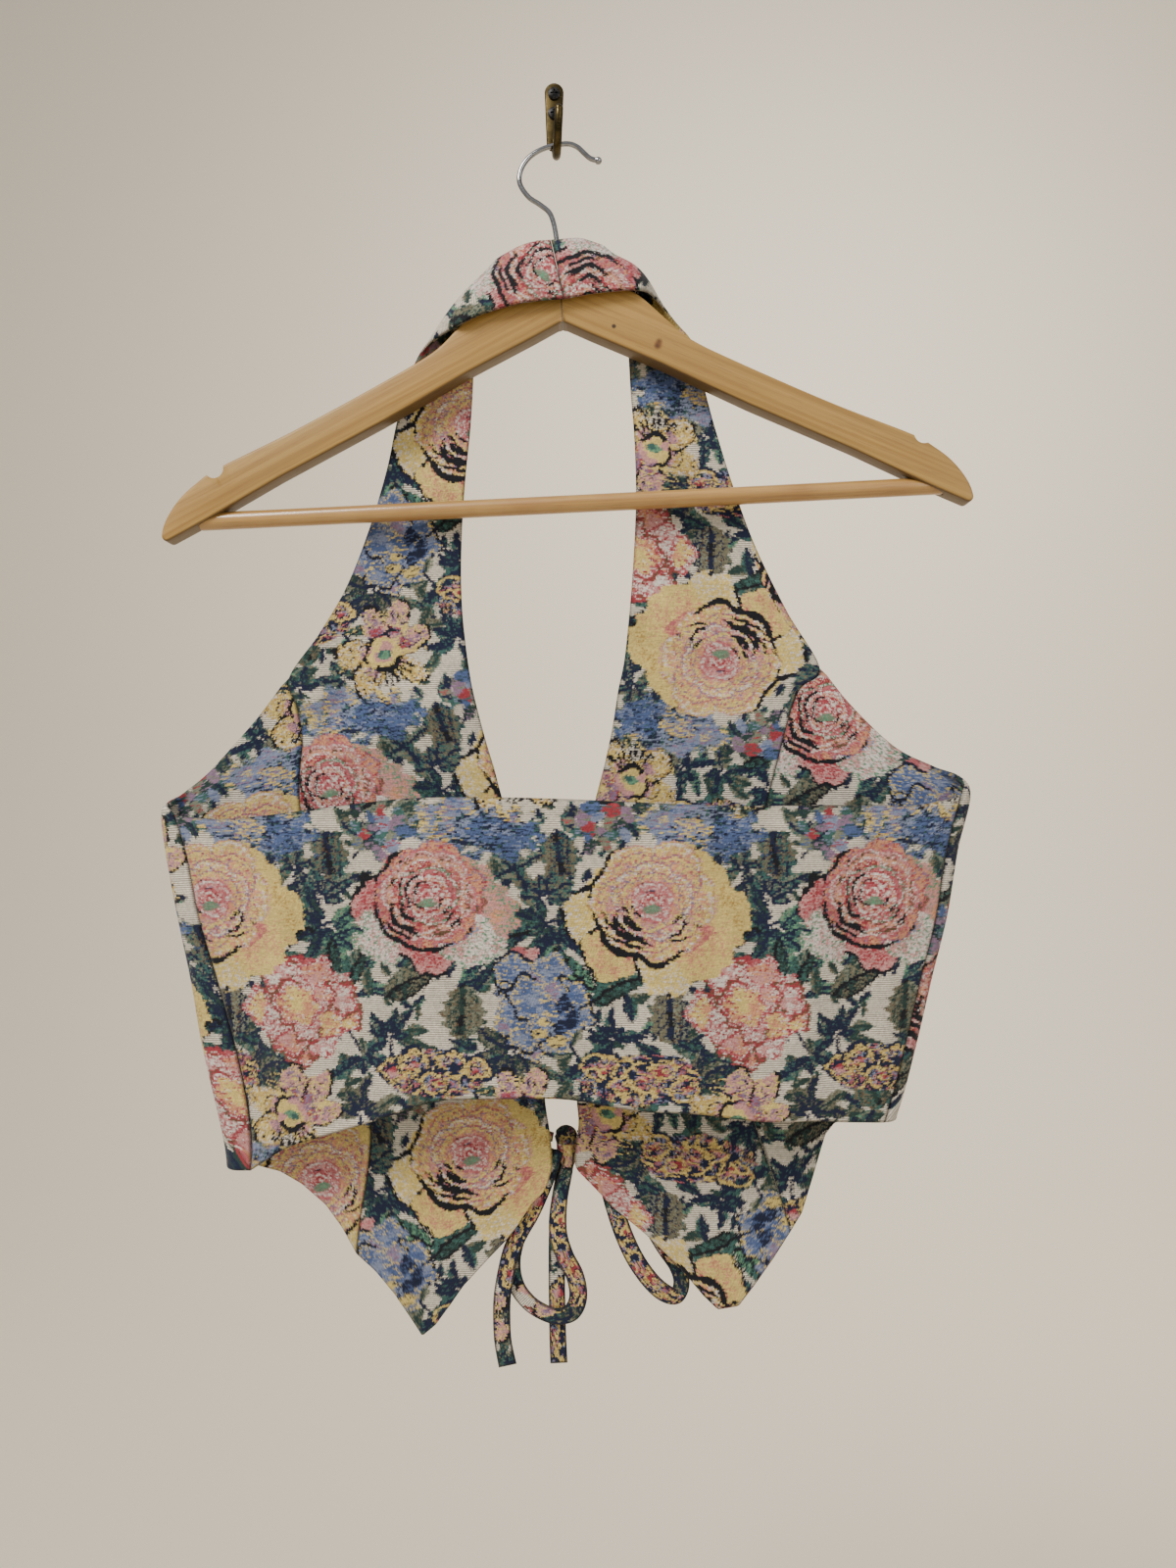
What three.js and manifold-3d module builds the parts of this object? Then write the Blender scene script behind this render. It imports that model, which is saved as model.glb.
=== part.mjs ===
// Backless halter waistcoat of floral tapestry cloth, hung by its neckband on a flat wooden hanger,
// with the hanger's wire hook on a small wall hook. It is seen from the garment's back.
// Millimetres, +Z up. The wall is the plane y = 0, the room is on the -Y side, and the origin is
// the middle of the wall hook's back face.
import * as THREE from "three";
import { mergeVertices } from "three/addons/utils/BufferGeometryUtils.js";
import Module from "manifold-3d";

const wasm = await Module();
wasm.setup();

// Cloth: each layer of the self-lined fronts, the air between the layers, the thicker back band,
// and the gap between pieces at a seam.
const LAYER = 1.1;
const LAYER_GAP = 0.3;
const BAND_THICKNESS = 2.2;
const TIE_THICKNESS = 2.0;
const SEAM_GAP = 0.4;
const SIDE_FOLD_RADIUS = 7;
const FRONT_BOW = 1.2;
const BAND_BULGE = 20;
const BAND_BULGE_POWER = 2.4;
const STEPS_PER_ROW = 2;
const CENTRE_ACROSS = [0, 0.17, 0.35, 0.57, 0.8, 1];

// Hanger: the arms' thickness, the depth of its middle plane, the joint of its two arms, the roll of
// the whole hanger about that joint, each arm's reach from it, its notches and its round bar.
const HANGER_THICKNESS = 13.5;
const HANGER_Y = -18;
const HANGER_JOINT = new THREE.Vector3(5.1, HANGER_Y, -122.6);
const HANGER_ROLL_DEG = 2.82;
const ARM_SPAN = { left: 222.9, right: 218.1 };
const ARM_JOINT_GAP = 0.3;
const ARM_BEVEL = 0.9;
const NOTCH_RADIUS = 5.2;
const NOTCH_AT = 192.5;
const NOTCH_Z = -72;
const BAR_RADIUS = 4.8;
const BAR_Z = -99;
const BAR_HALF_LENGTH = 203;
const FIT_GAP = 0.3;

// Wire hook of the hanger
const WIRE_RADIUS = 1.4;
const WIRE_SIDES = 8;
const WIRE_STEPS = 34;
const WIRE_BALL_RADIUS = 2;

// Wall hook: oval plate, a prong bent into a half circle, and two screws
const PLATE = { width: 10.6, footRadius: 4.2, top: 18, bottom: -20, thickness: 2.5 };
const PRONG_RADIUS = 2.3;
const PRONG_BEND = 14;
const PRONG_ROOT_Y = -2.2;
const PRONG_ROOT_Z = -14.5;
const PRONG_LEAN = 2.9;
const PRONG_ROOT_X = 0.5;
const PRONG_TIP_RISE = 2;
const PRONG_TIP_RADIUS = 2.4;
const PRONG_BEND_STEPS = 10;
const SCREW = {
  radius: 3.4, rim: 0.7, shoulderRadius: 2, shoulder: 1.3, crown: 1.5,
  slotWidth: 0.8, slotLength: 4.2, slotDepth: 0.9,
};
const SCREW_Z = [11.6, 0.6];

// Rows of numbers become objects with the column names.
function table(columns, rows) {
  return rows.map((row) => Object.fromEntries(columns.map((name, i) => [name, row[i]])));
}

// Straps, a row for each section from the centre back seam of the neckband, over the hanger's arm,
// to the top of the princess seam: the armhole edge (out), the neckline edge (in), and how far the
// middle of the section stands out from the line between them.
const STRAP_COLUMNS = ["outX", "outY", "outZ", "inX", "inY", "inZ", "bow"];
const LEFT_STRAP = table(STRAP_COLUMNS, [
  [5.9, -29, -114, -1.2, -26, -81, 1.5],
  [-14.7, -29, -116.1, -13.8, -25, -82.5, 1.5],
  [-35.9, -28.7, -121.5, -27.9, -21, -87.8, 2.5],
  [-49.5, -27.4, -127, -36.4, -16, -95.2, 4.5],
  [-58.5, -20.5, -129.3, -41.6, -12, -104.3, 5.5],
  [-68, -13, -132.6, -44.5, -9.5, -114.1, 4.5],
  [-77.2, -8.8, -141.9, -45.1, -8.5, -127.4, 2],
  [-81.6, -8.5, -157.2, -44.6, -8.5, -148, 0.5],
  [-87, -8.5, -174, -46.2, -8.5, -177, 0],
  [-93, -8.5, -202, -49, -8.5, -205, 0],
  [-103.3, -8.5, -236, -50.9, -8.5, -234, 0.5],
  [-115.3, -8.5, -266, -51.4, -8.6, -262, 1],
  [-130.2, -8.6, -291.5, -50, -8.8, -288, 1.2],
]);
const RIGHT_STRAP = table(STRAP_COLUMNS, [
  [6.2, -29, -114, -0.9, -26, -81, 1.5],
  [20.6, -29, -111.6, 13.7, -25, -79.9, 1.5],
  [35.9, -28.7, -109.6, 25.2, -21.5, -82, 2.5],
  [46.2, -27, -108.9, 30.2, -17.5, -85.5, 4.5],
  [51.5, -20.5, -107.5, 33, -13.5, -89.5, 6],
  [58.5, -13, -111, 35.5, -10.5, -97, 6],
  [67.4, -9.6, -119.5, 39, -8.9, -109.5, 4],
  [77, -8.6, -130, 41, -8.5, -128.5, 1],
  [83.2, -8.5, -153.9, 42.7, -8.5, -158, 0],
  [89.7, -8.5, -178, 44.7, -8.5, -183, 0],
  [100, -8.5, -211, 45.6, -8.5, -212, 0.5],
  [112.3, -8.5, -244, 44.8, -8.6, -240, 1],
  [129.4, -8.5, -279, 42.5, -8.8, -274, 1.2],
]);

// Fronts, a row for each section from the top of the princess seam to the hem: the princess seam,
// the neckline or front edge (in), how much of the hem's shape the row has, the outermost line of
// the side (edge), the angle that the side turns round towards the room, and how far it then runs
// back to the side seam.
const FRONT_COLUMNS = [
  "seamX", "seamY", "seamZ", "inX", "inY", "inZ", "hem", "edgeX", "edgeY", "edgeZ", "turn", "back",
];
const LEFT_FRONT = table(FRONT_COLUMNS, [
  [-146.8, -8.8, -316, -46.5, -9, -314, 0, -151, -9, -320.5, 0, 0],
  [-142.5, -8.8, -332, -42.6, -9, -332, 0, -166, -9.4, -340.5, 0, 0],
  [-139.5, -8.8, -349.7, -37.6, -9.2, -351, 0, -188, -10, -365.5, 5, 0],
  [-140.3, -8.9, -364, -33, -9.5, -366, 0, -203, -10.8, -379, 40, 0],
  [-140.9, -9, -375, -30.4, -9.7, -376, 0, -209.8, -11.6, -386, 115, 0],
  [-140.6, -9.2, -386, -27.2, -9.9, -387, 0, -212.4, -12, -391.7, 178, 1.5],
  [-138, -9.6, -410, -19.5, -10.8, -411, 0, -209.7, -12, -413, 180, 5],
  [-130, -10.3, -445, -12, -12, -445, 0, -203.6, -12, -446, 180, 5.5],
  [-119, -11.2, -482, -7.8, -13.5, -482, 0, -196, -12, -482.5, 180, 8.5],
  [-109, -12, -515, -5.8, -14.5, -515, 0.02, -190.5, -12, -514.5, 180, 11.5],
  [-102.5, -12.8, -546, -4.8, -15, -546, 0.12, -183.6, -12.4, -544, 180, 11],
  [-100.7, -13.2, -568, -2, -15.2, -566, 0.32, -179.8, -12.8, -560, 180, 9.5],
  [-102.5, -13.4, -590, -0.6, -15.2, -582, 0.56, -177.5, -13, -571, 180, 8],
  [-106, -13.5, -612, -2.3, -15, -591.5, 0.8, -176.6, -13, -578, 180, 7],
  [-108.4, -13.5, -633.3, -5.3, -14.8, -598.8, 1, -176.3, -13, -583, 180, 6.5],
]);
const RIGHT_FRONT = table(FRONT_COLUMNS, [
  [147.5, -8.7, -310.5, 39.3, -9, -305, 0, 151.5, -9, -314.5, 0, 0],
  [136.4, -8.8, -322, 35.7, -9, -323, 0, 165, -9.4, -331, 0, 0],
  [129.5, -8.8, -341, 32.6, -9.2, -343, 0, 188.5, -10, -353.8, 5, 0],
  [124.5, -8.9, -360, 28.6, -9.5, -362, 0, 210.5, -11, -365.5, 36, 0],
  [121.3, -9.1, -372, 25.5, -9.7, -374, 0, 221.5, -11.6, -371.5, 100, 0],
  [118.4, -9.2, -384, 22.5, -9.9, -386, 0, 226.2, -12, -381.5, 172, 0],
  [113.3, -9.6, -411, 17, -10.8, -411, 0, 219.5, -12, -410, 178, 0],
  [106.5, -10.3, -446, 13.5, -12, -446, 0, 213.6, -12, -446, 178, 0],
  [102.3, -11.2, -481, 12, -13.5, -482, 0, 205.5, -12, -479, 178, 0],
  [102, -12, -513, 12, -14.5, -515, 0.02, 199, -12, -507, 178, 0],
  [105.5, -12.8, -542, 12.6, -15, -545, 0.12, 193.2, -12.4, -530, 178, 0],
  [111, -13.2, -562, 13.8, -15.2, -561, 0.32, 190.2, -12.8, -541, 178, 0],
  [118.7, -13.4, -584, 12.2, -15.2, -574, 0.56, 188, -13, -548, 178, 0],
  [125.5, -13.5, -604, 12.2, -15, -584.5, 0.8, 186.4, -13, -553, 178, 0],
  [130.5, -13.5, -621, 16.3, -14.8, -590.2, 1, 185.4, -13, -557, 178, 0],
]);
const UNDERARM_ROW = 5;

// Stations across a side front: its share of the whole way where the side lies flat, and where it
// turns round, its shares of the flat part and of the turn.
const SIDE_STATIONS = table(["share", "flat", "turn"], [
  [0, 0, 0],
  [0.25, 0.33, 0],
  [0.48, 0.68, 0],
  [0.68, 1, 0],
  [0.78, 1, 0.27],
  [0.87, 1, 0.54],
  [0.94, 1, 0.8],
  [1, 1, 1],
]);

// Hems: how far the centre front's hem hangs below the line between its ends, and how far the side
// front's hem rises above its own, each at a share of the way across.
const HEM_COLUMNS = ["across", "drop"];
const LEFT_POINT = table(HEM_COLUMNS, [
  [0, 0], [0.1, 13], [0.2, 29], [0.28, 44], [0.35, 57.5], [0.42, 54], [0.5, 45.5], [0.57, 37.5],
  [0.69, 28], [0.8, 20], [0.86, 14], [0.93, 5], [1, 0],
]);
const RIGHT_POINT = table(HEM_COLUMNS, [
  [0, 0], [0.08, 17], [0.17, 34.5], [0.25, 49], [0.35, 54], [0.42, 48.5], [0.5, 40], [0.57, 33.5],
  [0.7, 23], [0.8, 16.5], [0.86, 13], [0.93, 6], [1, 0],
]);
const LEFT_SIDE_HEM = table(HEM_COLUMNS, [
  [0, 0], [0.13, -8], [0.28, -13], [0.5, -13.5], [0.7, -10], [0.85, -5], [1, 0],
]);
const RIGHT_SIDE_HEM = table(HEM_COLUMNS, [
  [0, 0], [0.13, -2], [0.26, -14], [0.4, -28], [0.5, -28], [0.7, -18], [1, 0],
]);

// Back band, a row for each station from the left side seam to the right one: how far its top and
// its lower edge rise above the line between their ends.
const BAND = table(["across", "topRise", "lowRise"], [
  [0, 0, 0],
  [0.06, -2.4, 12],
  [0.12, -1, 18],
  [0.2, 2.5, 25],
  [0.3, 6.3, 34],
  [0.4, 6, 33],
  [0.5, 4, 30.5],
  [0.6, 1, 22],
  [0.7, -1.5, 17],
  [0.8, -2.5, 9.5],
  [0.88, -3.5, 6.5],
  [0.94, -4, 3],
  [1, 0, 0],
]);

// The two halves of the front: -1 is the left side and 1 the right, and the rows of the strap and
// the centre front are one list.
const HALVES = [
  {
    name: "left", side: -1, strap: LEFT_STRAP, front: LEFT_FRONT,
    point: LEFT_POINT, hem: LEFT_SIDE_HEM,
  },
  {
    name: "right", side: 1, strap: RIGHT_STRAP, front: RIGHT_FRONT,
    point: RIGHT_POINT, hem: RIGHT_SIDE_HEM,
  },
];
for (const half of HALVES)
  half.rows = half.strap.concat(
    half.front.map((row) => ({
      outX: row.seamX, outY: row.seamY, outZ: row.seamZ,
      inX: row.inX, inY: row.inY, inZ: row.inZ, bow: FRONT_BOW,
    })),
  );

// Hanger arm in the hanger's own frame, from the joint outwards: its top and its lower edge
const ARM_TOP = table(["x", "z"], [
  [0, 19.5], [22, 18.8], [34, 16], [44, 9.5], [57, -3], [70, -14.5], [96, -28.6], [146, -53],
  [188, -71.5],
]);
const ARM_END = table(["x", "z"], [
  [200, -79], [208.5, -86], [215, -94], [219, -101.5], [220.5, -108], [218, -110.2],
]);
const ARM_LOW = table(["x", "z"], [
  [200, -101.5], [156, -78.5], [100, -51.5], [52, -26.5], [15, -9], [0, -1.5],
]);

// Route of the hanger's wire hook, from its seat in the wood to its tip
const WIRE = table(["x", "y", "z"], [
  [4.9, -18, -112],
  [4.5, -18, -103],
  [3.2, -17.9, -88],
  [1.6, -17.7, -75.2],
  [0, -17.6, -67.2],
  [-2.4, -17.5, -61.8],
  [-7.5, -17.4, -57.6],
  [-13.6, -17.2, -53.3],
  [-18.3, -17, -46],
  [-17.8, -16.8, -38.5],
  [-13.6, -16.6, -31.8],
  [-7, -16.4, -27.2],
  [1, -16.2, -24.6],
  [8.3, -16.2, -23.8],
  [13.3, -16.2, -25.6],
  [17, -16.2, -29],
  [20.4, -16.2, -31.8],
  [24.6, -16.2, -33],
]);

// Tie, a row for each section of a strip: its middle and its width
const TIE_COLUMNS = ["x", "y", "z", "width"];
const TIE_STRIPS = {
  tie_loop_left: table(TIE_COLUMNS, [
    [9.6, -10.4, -577.6, 4.5],
    [7, -10.8, -589, 7],
    [3.2, -11, -605, 9],
    [2.4, -11, -622, 10],
    [6, -11, -635, 10],
    [11.8, -11, -646.5, 10],
    [13.6, -11, -658, 10],
    [10, -11, -666.5, 10],
    [2, -10.4, -669.2, 9],
    [-6.5, -9.2, -667, 9],
    [-14.5, -7.8, -662, 9],
    [-21, -6.8, -653, 9],
    [-23, -6.3, -640, 9],
    [-19.5, -6.2, -624, 9],
    [-13.5, -6.3, -606, 8],
    [-6.5, -6.5, -589, 7],
    [-1.6, -7, -577, 5],
  ]),
  tie_loop_right: table(TIE_COLUMNS, [
    [12.6, -10.7, -575, 4],
    [21, -10.6, -582, 8],
    [29, -10.6, -593, 10],
    [33.5, -10.8, -608, 10],
    [38.5, -11, -623, 10],
    [45, -11, -637, 10],
    [53, -11, -648.5, 10],
    [61, -10.4, -656, 10],
    [68, -8.8, -658.5, 9],
    [71, -7.2, -652, 9],
    [68.5, -6.2, -643, 9],
    [61, -6, -632, 9],
    [50, -6, -614, 9],
    [38, -6, -597, 9],
    [27, -6, -583.5, 8],
    [14, -6.2, -575.4, 4],
  ]),
  tie_end_left: table(TIE_COLUMNS, [
    [3.2, -10.4, -577.6, 5],
    [-2, -10.6, -589, 8],
    [-7.4, -10.7, -601, 9.4],
    [-12.8, -10.8, -612.5, 9.6],
    [-18.4, -10.8, -622.1, 9.6],
    [-23, -10.8, -632, 9.6],
    [-25.9, -10.8, -643, 9.6],
    [-28.3, -10.8, -657, 9.6],
    [-28.7, -10.8, -670, 9.6],
    [-28, -10.8, -683, 9.6],
    [-25.4, -10.8, -696.2, 10],
  ]),
  tie_end_right: table(TIE_COLUMNS, [
    [6.6, -6.7, -576.9, 5],
    [5.6, -6.4, -590, 8],
    [3, -6.4, -607, 9],
    [1.8, -6.4, -625, 9.2],
    [1.6, -6.4, -645, 9.2],
    [1.8, -6.4, -664, 9.2],
    [2.2, -6.4, -682, 9.4],
    [2.8, -6.4, -696.9, 9.6],
  ]),
  tie_root_left: table(TIE_COLUMNS, [
    [-24, -11.2, -566, 10],
    [-15, -11.5, -567, 10],
    [-7, -11.2, -569, 8],
    [-0.3, -9.6, -570.2, 5],
  ]),
  tie_root_right: table(TIE_COLUMNS, [
    [38, -11.1, -560, 9],
    [29, -11.5, -562.5, 9],
    [21, -11.3, -566, 8],
    [13.8, -9.6, -569, 5],
  ]),
};
const KNOT = { x: 6.8, y: -8.6, z: -570.3, width: 12.8, depth: 8.6, height: 13 };

const MATERIALS = {
  tapestry: new THREE.MeshStandardMaterial({ color: 0xb9a98f, roughness: 0.9, metalness: 0 }),
  wood: new THREE.MeshStandardMaterial({ color: 0xb8925a, roughness: 0.55, metalness: 0 }),
  varnish: new THREE.MeshStandardMaterial({ color: 0xa87a34, roughness: 0.35, metalness: 0 }),
  chrome: new THREE.MeshStandardMaterial({ color: 0xc9c9c7, roughness: 0.18, metalness: 1 }),
  brass: new THREE.MeshStandardMaterial({ color: 0x8a6f3c, roughness: 0.42, metalness: 1 }),
  black: new THREE.MeshStandardMaterial({ color: 0x1c1b1a, roughness: 0.5, metalness: 0.6 }),
};

// A value of a table's column at a place between its rows, on a smooth curve through them.
function smooth(rows, column, place) {
  const i = Math.min(Math.floor(place), rows.length - 2);
  const t = place - i;
  const at = (k) => rows[Math.min(Math.max(k, 0), rows.length - 1)][column];
  const [a, b, c, d] = [at(i - 1), at(i), at(i + 1), at(i + 2)];
  return b + 0.5 * t * (c - a + t * (2 * a - 5 * b + 4 * c - d + t * (3 * (b - c) + d - a)));
}

// A table's value on straight lines between its rows, by the first column's share.
function straight(rows, share, column) {
  const k = Math.max(1, rows.findIndex((row) => row.across >= share - 1e-9));
  const [low, high] = [rows[k - 1], rows[k]];
  const t = (share - low.across) / (high.across - low.across);
  return low[column] + (high[column] - low[column]) * t;
}

// Places along a table, some for each of its rows.
function places(first, last, steps) {
  const count = (last - first) * steps;
  return Array.from({ length: count + 1 }, (_, i) => first + i / steps);
}

// An edge of the strap and centre front, "out" or "in", at a place along their rows.
function edgePoint(rows, edge, place) {
  return new THREE.Vector3(...["X", "Y", "Z"].map((axis) => smooth(rows, edge + axis, place)));
}

// Grid of a centre front with its strap and half of the neckband: a list of sections, each a list
// of points across, the last ones brought down to the pointed hem.
function centreGrid(half) {
  const { rows, strap, front, point } = half;
  const last = rows.length - 1;
  return places(0, last, STEPS_PER_ROW).map((place) => {
    const [out, inner] = [edgePoint(rows, "out", place), edgePoint(rows, "in", place)];
    const ahead = edgePoint(rows, "out", Math.min(place + 0.5, last));
    const along = ahead.sub(edgePoint(rows, "out", Math.max(place - 0.5, 0)));
    const across = new THREE.Vector3().subVectors(inner, out);
    const shellSide = across.cross(along).normalize().multiplyScalar(-half.side);
    const bow = smooth(rows, "bow", place);
    const weight = place > strap.length ? smooth(front, "hem", place - strap.length) : 0;
    return CENTRE_ACROSS.map((u) => {
      const p = new THREE.Vector3().lerpVectors(out, inner, u);
      p.addScaledVector(shellSide, 4 * bow * u * (1 - u));
      return p.setZ(p.z - weight * straight(point, u, "drop"));
    });
  });
}

// A point of a side front at a station of the way from the princess seam round the side.
function sidePoint(half, place, station) {
  const { front, hem, side, rows, strap } = half;
  const value = (column) => smooth(front, column, place);
  const seam = edgePoint(rows, "out", place + strap.length);
  const turn = THREE.MathUtils.degToRad(Math.min(Math.max(value("turn"), 0), 180));
  const back = Math.max(value("back"), 0);
  const radius = SIDE_FOLD_RADIUS;
  const centreX = value("edgeX") - side * radius * Math.sin(Math.min(turn, Math.PI / 2));
  const flat = Math.hypot(centreX - seam.x, value("edgeZ") - seam.z);
  const evenly = station.share * (flat + radius * turn + back);
  const byTurn = station.flat * flat + station.turn * radius * turn + (station.turn < 1 ? 0 : back);
  const run = THREE.MathUtils.lerp(evenly, byTurn, turn / Math.PI);
  const level = Math.min(run / flat, 1);
  const ease = level * level * (3 - 2 * level);
  const drop = straight(hem, level, "drop") * Math.max(value("hem"), 0);
  const angle = Math.min(Math.max(run - flat, 0) / radius, turn);
  const beyond = Math.max(run - flat - radius * turn, 0);
  return new THREE.Vector3(
    seam.x + (centreX - seam.x) * level + side * (radius * Math.sin(angle) - beyond),
    seam.y + (value("edgeY") - seam.y) * ease - radius * (1 - Math.cos(angle)),
    seam.z + (value("edgeZ") - seam.z) * level - drop,
  );
}

// Grid of a side front, its sections running from the princess seam to the armhole or side seam.
function sideGrid(half) {
  return places(0, half.front.length - 1, STEPS_PER_ROW).map((place) =>
    SIDE_STATIONS.map((station) => sidePoint(half, place, station)),
  );
}

// Grid of the back band between the two side seams.
function bandGrid() {
  const last = LEFT_FRONT.length - 1;
  const end = SIDE_STATIONS.at(-1);
  const [left, right] = HALVES.map((half) => (place) => sidePoint(half, place, end));
  const [top, low] = [left(UNDERARM_ROW).z, left(last).z];
  return places(UNDERARM_ROW, last, STEPS_PER_ROW).map((place) => {
    const down = (left(place).z - top) / (low - top);
    return BAND.map((station) => {
      const p = new THREE.Vector3().lerpVectors(left(place), right(place), station.across);
      const fromMiddle = Math.abs(2 * station.across - 1);
      p.y -= BAND_BULGE * (1 - fromMiddle ** BAND_BULGE_POWER);
      p.z += station.topRise * (1 - down) + station.lowRise * down;
      return p;
    });
  });
}

// The same grid with one of its long edges drawn in, for the gap at a seam.
function drawIn(grid, atEnd, amount) {
  return grid.map((section) => {
    const points = section.map((p) => p.clone());
    const [edge, next] = atEnd ? [points.at(-1), points.at(-2)] : [points[0], points[1]];
    edge.addScaledVector(new THREE.Vector3().subVectors(next, edge).normalize(), amount);
    return points;
  });
}

// The same grid with its first section drawn in towards the second.
function drawInTop(grid, amount) {
  const next = grid[1];
  const first = grid[0].map((p, j) =>
    p.clone().addScaledVector(new THREE.Vector3().subVectors(next[j], p).normalize(), amount),
  );
  return [first, ...grid.slice(1)];
}

// Normals of a grid's points, all on the shell side where the sign is that of the piece.
function gridNormals(grid, sign) {
  const last = grid.length - 1;
  return grid.map((section, i) =>
    section.map((_, j) => {
      const ends = section.length - 1;
      const along = new THREE.Vector3().subVectors(
        grid[Math.min(i + 1, last)][j], grid[Math.max(i - 1, 0)][j],
      );
      const across = new THREE.Vector3().subVectors(
        section[Math.min(j + 1, ends)], section[Math.max(j - 1, 0)],
      );
      return across.cross(along).normalize().multiplyScalar(sign);
    }),
  );
}

// Closed wall between two offsets from a grid of points.
function wall(grid, sign, near, far) {
  const [rows, columns] = [grid.length, grid[0].length];
  const normals = gridNormals(grid, sign);
  const positions = [];
  for (const offset of [near, far])
    grid.forEach((section, i) =>
      section.forEach((p, j) => {
        positions.push(...p.clone().addScaledVector(normals[i][j], offset).toArray());
      }),
    );
  const id = (i, j, k) => (k * rows + i) * columns + j;
  const index = [];
  const quad = (a, b, c, d) => index.push(a, b, c, a, c, d);
  for (let i = 0; i < rows - 1; i++)
    for (let j = 0; j < columns - 1; j++) {
      quad(id(i, j, 1), id(i, j + 1, 1), id(i + 1, j + 1, 1), id(i + 1, j, 1));
      quad(id(i, j, 0), id(i + 1, j, 0), id(i + 1, j + 1, 0), id(i, j + 1, 0));
    }
  for (let i = 0; i < rows - 1; i++) {
    quad(id(i, 0, 1), id(i + 1, 0, 1), id(i + 1, 0, 0), id(i, 0, 0));
    const end = columns - 1;
    quad(id(i, end, 0), id(i + 1, end, 0), id(i + 1, end, 1), id(i, end, 1));
  }
  for (let j = 0; j < columns - 1; j++) {
    const end = rows - 1;
    quad(id(0, j, 0), id(0, j + 1, 0), id(0, j + 1, 1), id(0, j, 1));
    quad(id(end, j, 1), id(end, j + 1, 1), id(end, j + 1, 0), id(end, j, 0));
  }
  const geometry = new THREE.BufferGeometry();
  geometry.setAttribute("position", new THREE.Float32BufferAttribute(positions, 3));
  geometry.setIndex(index);
  return facingOut(geometry);
}

// The geometry with its faces turned so that they point out of the body.
function facingOut(geometry) {
  const p = geometry.getAttribute("position");
  const index = Array.from(geometry.index.array);
  const at = (i) => new THREE.Vector3().fromBufferAttribute(p, index[i]);
  let volume = 0;
  for (let i = 0; i < index.length; i += 3) volume += at(i).dot(at(i + 1).cross(at(i + 2)));
  geometry.setIndex(volume < 0 ? index.reverse() : index);
  return geometry;
}

// A geometry as a solid, for joins and cuts, and a solid as a geometry.
function toSolid(geometry) {
  const bare = geometry.clone();
  bare.deleteAttribute("normal");
  bare.deleteAttribute("uv");
  const merged = mergeVertices(bare, 1e-4);
  return new wasm.Manifold(
    new wasm.Mesh({
      numProp: 3,
      vertProperties: merged.getAttribute("position").array,
      triVerts: new Uint32Array(merged.index.array),
    }),
  );
}

function toGeometry(solid) {
  const mesh = solid.getMesh();
  const geometry = new THREE.BufferGeometry();
  geometry.setAttribute("position", new THREE.BufferAttribute(mesh.vertProperties, 3));
  geometry.setIndex(new THREE.BufferAttribute(mesh.triVerts, 1));
  return geometry;
}

function cut(geometry, ...tools) {
  return toGeometry(tools.reduce((solid, tool) => solid.subtract(toSolid(tool)), toSolid(geometry)));
}

function join(geometry, ...others) {
  return toGeometry(others.reduce((solid, other) => solid.add(toSolid(other)), toSolid(geometry)));
}

// A bar of round section along a curve, with flat ends.
function tube(points, radius, sides, steps) {
  const path = new THREE.CatmullRomCurve3(points);
  const section = new THREE.Shape();
  section.absarc(0, 0, radius, 0, 2 * Math.PI, false);
  return new THREE.ExtrudeGeometry(section, {
    extrudePath: path,
    steps,
    curveSegments: sides / 2,
    bevelEnabled: false,
  });
}

function ball(radius, x, y, z) {
  return new THREE.SphereGeometry(radius, 10, 8).translate(x, y, z);
}

function named(name, geometry, material) {
  const mesh = new THREE.Mesh(geometry, material);
  mesh.name = name;
  return mesh;
}

// The two layers of one cut piece: the shell outside, the lining inside.
function layers(name, grid, sign) {
  const half = LAYER_GAP / 2;
  return [
    named(`${name}_shell`, wall(grid, sign, half, half + LAYER), MATERIALS.tapestry),
    named(`${name}_lining`, wall(grid, sign, -half - LAYER, -half), MATERIALS.tapestry),
  ];
}

// Both halves of the front, each a centre front cut in one with its strap, and a side front.
function fronts() {
  return HALVES.flatMap((half) => {
    const centre = drawIn(drawInTop(centreGrid(half), SEAM_GAP / 2), false, SEAM_GAP / 2);
    const side = drawIn(drawIn(sideGrid(half), false, SEAM_GAP / 2), true, SEAM_GAP / 2);
    return [
      ...layers(`${half.name}_centre_front`, centre, -half.side),
      ...layers(`${half.name}_side_front`, side, half.side),
    ];
  });
}

function backBand() {
  const grid = drawIn(drawIn(bandGrid(), false, SEAM_GAP / 2), true, SEAM_GAP / 2);
  const half = BAND_THICKNESS / 2;
  return named("back_band", wall(grid, 1, -half, half), MATERIALS.tapestry);
}

// A flat strip of the tie, its width in the wall's plane and square to its run.
function strip(rows) {
  const grid = places(0, rows.length - 1, STEPS_PER_ROW).map((place) => {
    const at = (p) =>
      new THREE.Vector3(smooth(rows, "x", p), smooth(rows, "y", p), smooth(rows, "z", p));
    const middle = at(place);
    const ahead = at(Math.min(place + 0.25, rows.length - 1));
    const along = ahead.sub(at(Math.max(place - 0.25, 0))).normalize();
    const across = new THREE.Vector3(0, 1, 0).cross(along).normalize();
    const half = smooth(rows, "width", place) / 2;
    return [-half, half].map((w) => middle.clone().addScaledVector(across, w));
  });
  return wall(grid, 1, -TIE_THICKNESS / 2, TIE_THICKNESS / 2);
}

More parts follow.
